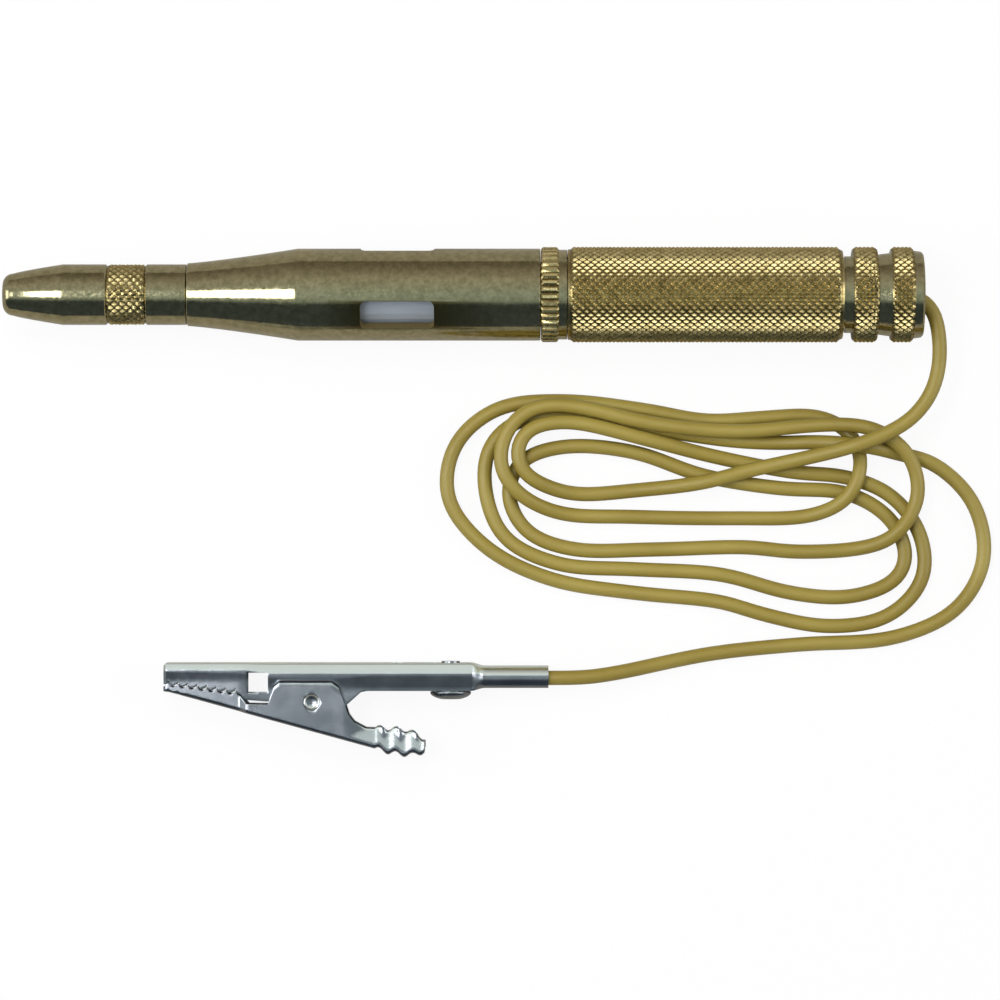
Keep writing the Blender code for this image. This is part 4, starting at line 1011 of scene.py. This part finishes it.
    def build_front_tube(self) -> None:
        """The front tube: threaded spigot, cone, and barrel with three windows."""
        before, behind = self.thread_ends
        pitch = (self.cone_start - self.spigot_start - before - behind) / self.threads
        root = self.spigot_radius - self.thread_depth
        profile = []
        for index in range(self.threads):
            x = self.spigot_start + before + index * pitch
            profile += [(x, root), (x + pitch / 2, self.spigot_radius)]
        profile += [(self.cone_start - self.thread_relief, root), (self.cone_start, root)]
        start, steps = self.cone_start + self.edge, 24
        profile.append((self.cone_start, self.cone_start_radius - self.edge))
        for step in range(steps + 1):
            share = step / steps
            swell = share**self.cone_swell * (self.barrel_radius - self.cone_start_radius)
            profile.append((start + share * (self.cone_end - start), self.cone_start_radius + swell))
        profile += [
            (self.barrel_end - self.wide_edge, self.barrel_radius),
            (self.barrel_end, self.barrel_radius - self.wide_edge), (self.barrel_end, self.barrel_bore),
            (self.lamp_bore_start, self.barrel_bore), (self.lamp_bore_start, self.needle_bore),
            (self.spigot_start, self.needle_bore), (self.spigot_start, self.spigot_radius - self.gap),
        ]
        mesh = turned("front_tube", plain_rings(profile, self.barrel_sides))
        tube = add_piece(mesh, BRASS, Body.PEN, "front_body")
        turns = [self.window_turn + 2 * math.pi * index / self.windows for index in range(self.windows)]
        cutters = [self.window_cutter(Vector((0, math.sin(turn), math.cos(turn)))) for turn in turns]
        apply_cuts(tube, cutters, self.window_edge)

    def window_cutter(self, aim: Vector) -> bpy.types.Object:
        """The slot of one window, cut inwards along its aim."""
        length, width = self.window_size
        along = Vector((1, 0, 0))
        across = aim.cross(along)
        base = Vector((self.window_centre, 0, PEN_AXIS_Z)) + aim * (self.barrel_bore / 2)
        outline, steps = [], 6
        for quadrant, (sx, sy) in enumerate(((1, 1), (-1, 1), (-1, -1), (1, -1))):
            for step in range(steps + 1):
                angle = math.pi / 2 * (quadrant + step / steps)
                x = sx * (length / 2 - self.window_corner) + self.window_corner * math.cos(angle)
                y = sy * (width / 2 - self.window_corner) + self.window_corner * math.sin(angle)
                outline.append(base + along * x + across * y)
        # the cut walls take the milled finish, drawn pale as painted light
        return cutter("window", outline, aim * self.barrel_radius, MILLED_AND_LIT)

    def build_coupling(self) -> None:
        """The coupling: fluted ring, plain collar and the two spigots."""
        per_flute = 6
        sides = self.flutes * per_flute
        start, end = self.coupling
        (step, front_bore), (_, rear_bore) = in_metres(*self.coupling_bores)
        front_spigot, rear_spigot = self.barrel_bore - self.gap, self.handle_bore - self.gap
        low = self.ring_radius - self.flute_depth
        wave = np.minimum(tri(np.arange(sides) / per_flute) * self.flute_flat, 1.0)
        rings = plain_rings(((start, front_spigot), (self.ring_start, front_spigot)), sides)
        rings += plain_rings(((self.ring_start, low),), sides, 0.3)
        for x in (self.ring_start + self.ring_edge, self.ring_end - self.ring_edge):
            rings.append(Ring(x, low + self.flute_depth * wave, wave))
        rings += plain_rings(((self.ring_end, low),), sides, 0.3)
        rings += plain_rings(
            (
                (self.ring_end, self.collar_radius), (self.collar_end - self.wide_edge, self.collar_radius),
                (self.collar_end, self.collar_radius - self.wide_edge), (self.collar_end, rear_spigot),
                (end, rear_spigot), (end, rear_bore), (step, rear_bore), (step, front_bore), (start, front_bore),
            ),
            sides,
        )
        coupling = self.brass("fluted_coupling", "coupling_ring", rings)
        refinish(coupling, BRASS, lambda at: at.x > self.ring_end + 0.01 * MM)

    def build_handle(self) -> None:
        """The diamond-knurled handle."""
        start, end = self.handle
        root = self.handle_radius - self.knurl.depth
        rings = plain_rings(((start, root),), self.knurl.sides)
        rings += self.knurl.rings(start + self.handle_edge, end - self.handle_edge, self.handle_radius)
        corners = ((end, root - self.handle_drop), (end, self.handle_bore), (start, self.handle_bore))
        self.brass("diamond_knurled_handle", "knurled_handle", rings + plain_rings(corners, self.knurl.sides))

    def build_rear_cap(self) -> None:
        """The rear cap: neck, two knurled bands with a groove between, and the flared mouth of the lead's hole."""
        sides, (start, end) = self.knurl.sides, self.groove
        shoulder, sleeve, neck = self.handle[1] + self.gap, self.handle_bore - self.gap, self.handle_bore
        corners = ((self.sleeve_start, sleeve), (shoulder, sleeve), (shoulder, neck), (self.neck_end, neck))
        rings = plain_rings(corners, sides)
        rings += self.knurl.rings(self.neck_end, start, self.handle_radius)
        rings += plain_rings(zip(self.groove, self.groove_radii), sides)
        rings += self.knurl.rings(end, self.band_end, self.handle_radius)
        rings += plain_rings(in_metres(*self.rear_end), sides)
        cap = self.brass("knurled_rear_cap", "rear_cap", rings)
        refinish(cap, BRASS, lambda at: at.x < self.neck_end or start < at.x < end or at.x > self.band_end)

    def build_needle(self) -> None:
        """The ground steel needle with its head."""
        rings = plain_rings(rounded(in_metres(*self.needle), self.edge), self.small_sides)
        add_piece(turned("ground_needle", rings, hollow=False), NICKEL, Body.PEN, "probe_needle")

    def build_lamp(self) -> None:
        """The tubular lamp: hollow glass, metal caps and the filament on its supports."""
        start, end = self.lamp
        at_tip, added, over_all = self.lamp_round
        glass, steps = [], 6
        for grow in (0.0, self.lamp_wall):
            side = []
            for step in range(steps + 1):
                angle = math.pi / 2 * step / steps
                x = start + grow + (self.lamp_lap - grow) * (1 - math.cos(angle))
                side.append((x, (self.lamp_radius - grow) * (at_tip + added * math.sin(angle)) * over_all))
            side.append((start + self.lamp_lap + self.lamp_shoulder, self.lamp_radius - grow))
            glass.append(side + [(start + end - x, r) for x, r in reversed(side)])
        mesh = turned("lamp_bulb", plain_rings(glass[0] + glass[1][::-1], self.lamp_sides))
        add_piece(mesh, LAMP_GLASS, Body.PEN, "lamp_glass")
        for side, tip, way in zip(("front", "rear"), self.lamp_tips, (1, -1)):
            shell = rounded([(tip + way * x, r) for x, r in in_metres(*self.lamp_cap)], self.lamp_cap_edge)
            mesh = turned(f"lamp_end_{side}", plain_rings(shell, self.lamp_sides), hollow=False)
            add_piece(mesh, NICKEL, Body.PEN, f"lamp_cap_{side}")
        middle = Vector(((start + end) / 2, 0, PEN_AXIS_Z))
        coil = []
        for i in range(self.coil_points + 1):
            angle, along = 2 * math.pi * self.coil_turns * i / self.coil_points, 2 * i / self.coil_points - 1
            across = (self.coil_radius * math.sin(angle), self.coil_radius * math.cos(angle))
            coil.append(middle + Vector((self.coil_half * along, *across)))
        add_piece(tube_mesh("lamp_filament", [coil], self.filament_radius, 6), TUNGSTEN, Body.PEN)
        post = [(x, y, 0.0) for x, y in in_metres(*self.supports)] + [(self.coil_half, 0.0, self.coil_radius)]
        posts = [[middle + Vector((way * x, way * y, z)) for x, y, z in post] for way in (-1, 1)]
        add_piece(tube_mesh("lamp_supports", posts, self.support_radius, 8), NICKEL, Body.PEN)

    def build(self) -> None:
        """Builds the pen and gives its plain hidden pieces their finishes."""
        self.build_guard()
        self.build_needle()
        self.build_front_tube()
        self.build_lamp()
        self.build_coupling()
        self.build_handle()
        self.build_rear_cap()
        for node, finish in (
            ("needle_bush", NYLON), ("handle_liner", NYLON), ("lead_bush", NYLON), ("window_tube", ACRYLIC),
            ("lead_terminal", BRASS), ("contact_spring", NICKEL),
        ):
            dress(node, finish)


# ---- the clip


@dataclass(frozen=True)
class Fold:
    """How sheet is folded: the bend's size, and its outline from wall to spine as (height, drop) shares of it."""

    bend: float
    outline: Tuple[Pair, ...]


def quarter_round(steps: int = 6) -> Tuple[Pair, ...]:
    """The outline of an even, round fold."""
    angles = [math.pi / 2 * step / steps for step in range(1, steps + 1)]
    return tuple((math.sin(a), 1 - math.cos(a)) for a in angles)


@dataclass
class Clip:
    """The crocodile clip: two folded jaws, pin, spring, screw and the lead's bare end.

    Its own frame has its origin at the pivot, x along it towards the tail, y across the jaws and z along the pin.
    """

    pivot: Point = (-19.7 * MM, -53.2 * MM, 3.5 * MM)
    width: float = 7.0 * MM
    sheet: float = 0.45 * MM
    running_gap: float = 0.35 * MM
    cut_edge: float = 0.1 * MM
    nose_half_width: float = 2.5 * MM
    # the press left the fixed jaw's fold as a flat facet with a small round at the spine
    flat_fold: Tuple[Pair, ...] = ((0.1, 0.012), (0.2, 0.04), (0.8, 0.222), (0.9, 0.26), (0.97, 0.33), (1.0, 0.45))
    fold_places: Pair = (-8.6 * MM, -5.8 * MM)  # the facet widens between these places
    fold_bends: Pair = (1.0 * MM, 1.5 * MM)
    round_fold: Fold = Fold(0.55 * MM, quarter_round())
    bend_share: float = 0.45  # the most of a wall's height that a fold takes
    teeth: int = 8
    tooth_depth: float = 0.6 * MM
    tooth_gap: float = 0.12 * MM
    spine: float = 5.1 * MM
    tail_start: float = 12.0 * MM
    tail_edge: float = 1.45 * MM
    nose_tip: float = -19.4 * MM
    nose_back: float = -9.4 * MM
    nose_drop: float = 0.27 * MM
    opening: Tuple[float, float, float, float] = (-8.5 * MM, -5.75 * MM, 1.2 * MM, 3.85 * MM)  # from, to, bottom, top
    wall_lean: float = 0.21  # how fast the fixed jaw's walls draw in below the fold
    wall_sink: Pair = (0.28 * MM, 0.42 * MM)  # the most they draw in, at the nose and behind it
    sink_run: float = 4.0 * MM
    grip_tip: float = 2.5 * MM
    grip_back: float = 1.25 * MM
    barrel: Pair = (22.6 * MM, 30.9 * MM)
    barrel_radius: float = 1.53 * MM
    barrel_axis: float = 3.2 * MM
    barrel_seam: float = math.radians(24)
    pin_radius: float = 1.05 * MM
    pin_clear: float = 0.03 * MM
    sides: int = 48  # points round the pin and the screw
    # the pin's swaged end in millimetres, as (depth, radius): a thin bright ring round a shallow hollow
    pin_end: Tuple[Pair, ...] = (
        (0.2, 0.05), (0.14, 0.7), (0.1, 0.78), (0.02, 0.84), (0.0, 0.92), (0.04, 1.01), (0.14, 1.05),
    )
    pin_hollow: float = 0.8 * MM
    screw_x: float = 18.1 * MM
    screw_radii: Pair = (1.95 * MM, 1.2 * MM)
    screw_head: Pair = (0.34 * MM, 1.95 * MM)
    # the low dome of the screw's head below the tail, as (height in the clip's frame, radius) in millimetres
    screw_dome: Tuple[Pair, ...] = (
        (0.34, 1.3), (0.42, 1.62), (0.6, 2.12), (0.82, 2.48), (1.02, 2.64), (1.24, 2.68), (1.34, 2.6), (1.36, 1.95),
    )
    screw_slot: Point = (6.0 * MM, 1.2 * MM, 0.6 * MM)
    screw_edge: float = 0.05 * MM
    screw_stand: float = 0.22 * MM  # how far its end stands out of the tail
    screw_clear: float = 0.1 * MM
    screw_land: float = 0.6 * MM  # flat sheet behind the head
    spine_hole: Pair = (11.1 * MM, 0.95 * MM)
    spine_slot: Point = (15.3 * MM, 1.7 * MM, 2.8 * MM)  # place, length and width
    spine_cut: float = 2.0 * MM  # how deep the holes through the spine are cut
    # heights of spines and of walls' edges in millimetres, as (x, y)
    moving_spine: Tuple[Pair, ...] = (
        (-19.4, 1.4), (-18.6, 1.3), (10.0, -6.53), (11.5, -6.8), (13.2, -6.9), (14.7, -6.5),
    )
    moving_edge: Tuple[Pair, ...] = (
        (-9.4, 0.7), (-8.6, -0.25), (-5.7, -0.3), (-5.0, 1.9), (-4.3, 2.55), (2.6, 2.55), (3.5, 1.9), (4.4, -0.5),
        (4.8, -1.7), (5.5, -2.6), (7.0, -3.4), (9.0, -3.5), (12.0, -3.7), (13.6, -4.3), (14.7, -5.0),
    )
    fixed_edge: Tuple[Pair, ...] = (
        (-9.4, 1.2), (-8.75, 0.3), (-5.6, 0.05), (-4.4, -0.5), (0, -1.9), (2.6, -1.5), (4.4, -0.5), (6.4, 1.3),
        (7.2, 1.45),
    )
    ridge_start: float = 8.2 * MM
    ridge_pitch: float = 2.2 * MM
    ridge_height: float = 0.3 * MM
    ridge_steps: int = 36
    step: float = 0.5 * MM  # between sections of a jaw
    least_step: float = 0.15 * MM
    lever_lean: Pair = (4.4 * MM, 7.4 * MM)  # where the lever's walls begin to lean in, and do so in full
    lever_sink: float = 0.45 * MM
    lever_slope: float = 0.2
    lever_ripple: float = 0.2 * MM
    spring_turns: float = 3.5
    spring_pitch: float = 0.75 * MM
    spring_radius: float = 1.7 * MM
    spring_wire: float = 0.5 * MM
    spring_leg: float = 8.0 * MM
    spring_clear: float = 0.3 * MM
    spring_points: int = 140
    spring_blend: Pair = (1.2 * MM, -1.6 * MM)  # across the clip, where it follows the pen and where the lever
    strands: int = 7
    strand_points: int = 24
    strand_radius: float = 0.19 * MM
    strand_spread: float = 0.4 * MM
    strand_flare: float = 0.25  # how much further apart they are at the screw
    strand_turns: float = 0.5
    strand_ends: Pair = (0.25 * MM, 0.1 * MM)  # from the screw's shank, and into the barrel

    @property
    def ear(self) -> float:
        """Half the fixed jaw's width between the moving jaw's ears."""
        return self.width / 2 - self.sheet - self.running_gap

    def at(self, x: float, y: float, z: float) -> Vector:
        """A point of the clip's own frame in the world."""
        return Vector((self.pivot[0] + x, self.pivot[1] + y, self.pivot[2] + z))

    def section(
        self, x: float, half: float, spine: float, edge: float, fold: Fold,
        roll: float = 0.0, sink: float = 0.0, lean: Optional[float] = None,
    ) -> List[Vector]:
        """One section across a folded jaw.

        Args:
            x: Its place along the clip.
            half: Half the width over its walls.
            spine: The height of its spine.
            edge: The height of its walls' edges.
            fold: How its walls turn into its spine.
            roll: How far it is rolled into the tail's barrel, from 0 to 1.
            sink: How far its walls draw in from the fold to their edges, at most.
            lean: How fast they do; None takes the fixed jaw's lean.

        Returns:
            Its points, in the clip's frame.
        """
        up = 1 if spine > edge else -1
        bend = min(fold.bend, abs(spine - edge) * self.bend_share)
        start = spine - up * bend
        side, steps = [], 7
        for step in range(steps + 1):
            y = edge + (start - edge) * step / steps
            side.append((y, half - min(sink, abs(start - y) * (lean or self.wall_lean))))
        side += [(start + up * bend * height, half - bend * drop) for height, drop in fold.outline]
        flat = [(y, -z) for y, z in side] + [(spine, 0.0)] + side[::-1]
        out = []
        for index, (y, z) in enumerate(flat):
            angle = (math.pi - self.barrel_seam) * (2 * index / (len(flat) - 1) - 1)
            tube_y = self.barrel_axis + self.barrel_radius * math.cos(angle)
            tube_z = self.barrel_radius * math.sin(angle)
            out.append(Vector((x, y + roll * (tube_y - y), z + roll * (tube_z - z))))
        return out

    def height(self, outline: Sequence[Pair], x: float) -> float:
        """The height of an outline, in metres, at a place in metres."""
        return float(np.interp(x / MM, [p[0] for p in outline], [p[1] for p in outline])) * MM

    def stations(self, outline: Sequence[Pair], end: float) -> List[float]:
        """Places along an outline behind the nose: its own corners and even steps between them, up to an end."""
        corners = [point[0] * MM for point in outline[1:] if point[0] * MM <= end + 1e-9]
        steps = np.arange(corners[0], end, self.step)
        even = [float(x) for x in steps if min(abs(x - c) for c in corners) > self.least_step]
        return sorted(corners + even)

    def tooth_edges(self, side: int) -> List[Pair]:
        """(place, edge height) along the nose; side is 1 on the fixed jaw and -1 on the moving one."""
        shape = (-0.5, -0.36, 0.5, -0.36)  # a tooth's edge, as shares of its depth
        count = len(shape) * self.teeth
        out = []
        for index in range(count + 1):
            share = index / count
            x = self.nose_tip + (self.nose_back - self.nose_tip) * share
            grip = self.grip_tip + share * (self.grip_back - self.grip_tip)
            out.append((x, grip + self.tooth_depth * shape[index % len(shape)] + side * self.tooth_gap))
        return out

    def fixed_fold(self, x: float) -> Fold:
        """The fixed jaw's fold at a place along it."""
        return Fold(float(np.interp(x, self.fold_places, self.fold_bends)), self.flat_fold)

    def nose_half(self, x: float) -> float:
        """Half the jaws' width along the nose, which is narrower still at its very tip."""
        share = min(1.0, (x - self.nose_tip) / (self.nose_back - self.nose_tip))
        half = self.nose_half_width + share * (self.ear - self.nose_half_width)
        return half - (self.nose_drop if x == self.nose_tip else 0.0)

    def folded(self, name: str, sections: Sequence[Sequence[Vector]], body: Body, node: str) -> bpy.types.Object:
        """A jaw folded from sheet, thickened inwards."""
        width = len(sections[0])
        faces = [
            (i * width + k, i * width + k + 1, (i + 1) * width + k + 1, (i + 1) * width + k)
            for i in range(len(sections) - 1) for k in range(width - 1)
        ]
        mesh = bpy.data.meshes.new(name)
        mesh.from_pydata([tuple(self.at(*p)) for section in sections for p in section], [], faces)
        if sum(p.normal.z * (p.center.z - self.pivot[2]) for p in mesh.polygons) < 0:
            mesh.flip_normals()
        jaw = add_piece(mesh, ZINC, body, node)
        thicken = jaw.modifiers.new("sheet", "SOLIDIFY")
        thicken.thickness, thicken.offset, thicken.use_even_offset = self.sheet, -1, True
        return jaw

    def hole(self, name: str, centre: Vector, axis: Vector, radius: float, depth: float) -> bpy.types.Object:
        """A round hole's cutter."""
        across = axis.orthogonal().normalized()
        up, start, sides = axis.cross(across), centre - axis * depth / 2, 32
        angles = [2 * math.pi * i / sides for i in range(sides)]
        ring = [start + (across * math.cos(a) + up * math.sin(a)) * radius for a in angles]
        return cutter(name, ring, axis * depth)

    def pin_hole(self) -> bpy.types.Object:
        """The cutter of a jaw's two pin holes."""
        radius = self.pin_radius + self.pin_clear
        return self.hole("pin_hole", self.at(0, 0, 0), Vector((0, 0, 1)), radius, 2 * self.width)

    def box(self, name: str, centre: Vector, size: Sequence[float]) -> bpy.types.Object:
        """A square hole's cutter."""
        x, y, z = (s / 2 for s in size)
        outline = [centre + Vector((sx * x, sy * y, -z)) for sx, sy in ((-1, -1), (1, -1), (1, 1), (-1, 1))]
        return cutter(name, outline, Vector((0, 0, 2 * z)))

    def build_fixed_jaw(self) -> None:
        """The jaw that carries the lead."""
        nose_sink, back_sink = self.wall_sink
        sections = []
        for x, edge in self.tooth_edges(1):
            spine = self.spine - (self.nose_drop if x == self.nose_tip else 0.0)
            sections.append(self.section(x, self.nose_half(x), spine, edge, self.fixed_fold(x), sink=nose_sink))
        for x in self.stations(self.fixed_edge, self.fixed_edge[-1][0] * MM):
            sink = float(np.interp(x, (self.nose_back, self.nose_back + self.sink_run), self.wall_sink))
            edge = self.height(self.fixed_edge, x)
            sections.append(self.section(x, self.ear, self.spine, edge, self.fixed_fold(x), sink=sink))
        tail = self.screw_x + self.screw_radii[0] + self.screw_land
        rolls, steps = [(self.tail_start, 0.0), (tail, 0.0)], 6
        for step in range(1, steps + 1):
            share = step / steps
            rolls.append((tail + share * (self.barrel[0] - tail), share * share * (3 - 2 * share)))
        for x, roll in rolls + [(self.barrel[1], 1.0)]:
            fold, sink = self.fixed_fold(x), back_sink * (1 - roll)
            sections.append(self.section(x, self.ear, self.spine, self.tail_edge, fold, roll, sink))
        jaw = self.folded("folded_fixed_jaw", sections, Body.PEN, "clip_fixed_jaw")
        start, end, bottom, top = self.opening
        middle = self.at((start + end) / 2, (bottom + top) / 2, 0)
        down, deep, screw = Vector((0, 1, 0)), self.spine_cut, self.screw_radii[1] + self.screw_clear
        (hole_x, hole_radius), (slot_x, slot_length, slot_width) = self.spine_hole, self.spine_slot
        cutters = [
            self.box("opening", middle, (end - start, top - bottom, self.width)),
            self.pin_hole(),
            self.hole("screw_hole", self.at(self.screw_x, self.spine, 0), down, screw, deep),
            self.hole("spine_hole", self.at(hole_x, self.spine, 0), down, hole_radius, deep),
            self.box("spine_slot", self.at(slot_x, self.spine, 0), (slot_length, deep, slot_width)),
        ]
        apply_cuts(jaw, cutters, self.cut_edge)

    def build_moving_jaw(self) -> None:
        """The jaw with the thumb lever and its ridged pad."""
        fold, half, end = self.round_fold, self.width / 2, self.moving_edge[-1][0] * MM
        sections = []
        for x, edge in self.tooth_edges(-1):
            sections.append(self.section(x, self.nose_half(x), self.height(self.moving_spine, x), edge, fold))
        places = [(x, False) for x in self.stations(self.moving_edge, self.ridge_start - 0.2 * MM)]
        for step in range(self.ridge_steps + 1):
            places.append((self.ridge_start + (end - self.ridge_start) * step / self.ridge_steps, True))
        for x, ridged in places:
            spine, edge = self.height(self.moving_spine, x), self.height(self.moving_edge, x)
            sink = float(np.interp(x, self.lever_lean, (0.0, self.lever_sink)))
            if ridged:
                angle = 2 * math.pi * (x - self.ridge_start) / self.ridge_pitch
                wave = self.ridge_height * math.sin(angle)
                spine, edge, sink = spine + wave, edge + wave, sink + self.lever_ripple * math.cos(angle)
            sections.append(self.section(x, half, spine, edge, fold, sink=sink, lean=self.lever_slope))
        jaw = self.folded("folded_moving_jaw", sections, Body.LEVER, "clip_moving_jaw")
        apply_cuts(jaw, [self.pin_hole()], self.cut_edge)

    def build_pin(self) -> None:
        """The pin, with its ends swaged."""
        profile = [(-self.width / 2 + depth, radius) for depth, radius in in_metres(*self.pin_end)]
        profile += [(-x, radius) for x, radius in reversed(profile)]
        mesh = turned("swaged_pin", plain_rings(profile, self.sides), False, 0.0)
        mesh.transform(Matrix.Translation(self.pivot) @ Matrix.Rotation(-math.pi / 2, 4, "Y"))
        pin = add_piece(mesh, ZINC, Body.PEN, "clip_pivot_pin")
        x, y, _ = self.pivot
        refinish(pin, NICKEL, lambda at: (at - Vector((x, y, at.z))).length > self.pin_hollow)

    def build_screw(self) -> None:
        """The terminal screw, with its low domed and slotted head."""
        (bottom, top), (wide, shank) = self.screw_head, self.screw_radii
        profile = in_metres(*self.screw_dome) + [(top, wide), (top, shank), (self.spine + self.screw_stand, shank)]
        mesh = turned("slotted_screw", plain_rings(profile, self.sides), False, 0.0)
        mesh.transform(Matrix.Translation(self.at(self.screw_x, 0, 0)) @ Matrix.Rotation(math.pi / 2, 4, "Z"))
        screw = add_piece(mesh, ZINC, Body.PEN, "clip_screw")
        slot = self.box("screw_slot", self.at(self.screw_x, bottom, 0), self.screw_slot)
        apply_cuts(screw, [slot], self.screw_edge)

    def build_spring(self) -> None:
        """The torsion spring round the pin, with a leg on each jaw."""
        half, radius, count = self.spring_pitch * self.spring_turns / 2, self.spring_radius, self.spring_points
        wire, leg = self.spring_wire / 2, self.spring_leg
        clear = self.spring_clear + wire
        points = [self.at(leg, self.spine - self.sheet - clear, half)]
        for i in range(count + 1):
            angle = math.pi / 2 + 2 * math.pi * self.spring_turns * i / count
            points.append(self.at(radius * math.cos(angle), radius * math.sin(angle), half - 2 * half * i / count))
        # the lever slopes, so straight up its sheet is a little thicker
        points.append(self.at(leg, self.height(self.moving_spine, leg) + 1.1 * self.sheet + clear, -half))
        spring = add_piece(tube_mesh("torsion_spring", [points], wire, 12), NICKEL, None, "clip_spring")
        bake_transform(spring)

    def build_strands(self) -> None:
        """The lead's bare strands: one straight, six twisted round it."""
        clear, lap = self.strand_ends
        start, end = self.screw_x + self.screw_radii[1] + clear, self.barrel[0] + lap
        lines = []
        for index in range(self.strands):
            line = []
            for i in range(self.strand_points + 1):
                share = i / self.strand_points
                angle = 2 * math.pi * (index / (self.strands - 1) + self.strand_turns * share)
                away = self.strand_spread * (1.0 + self.strand_flare * (1 - share)) if index else 0.0
                y, z = self.barrel_axis + away * math.cos(angle), away * math.sin(angle)
                line.append(self.at(start + (end - start) * share, y, z))
            lines.append(line)
        add_piece(tube_mesh("copper_strands", lines, self.strand_radius, 8), COPPER, Body.PEN, "lead_strands")

    def build(self) -> None:
        """Builds the whole clip."""
        self.build_fixed_jaw()
        self.build_moving_jaw()
        self.build_pin()
        self.build_screw()
        self.build_spring()
        self.build_strands()


def main() -> None:
    """Builds the scene: camera and lead first, then the pen, the clip and the studio."""
    studio, lead = Studio(), Lead()
    studio.camera()
    vinyl = lead.build()
    log.info("lead: %.1f mm long", lead.length() / MM)
    Pen().build()
    Clip().build()
    lead.length()
    studio.build()
    log.info("studio: floor, surroundings and lamps")


if __name__ == "__main__":
    main()
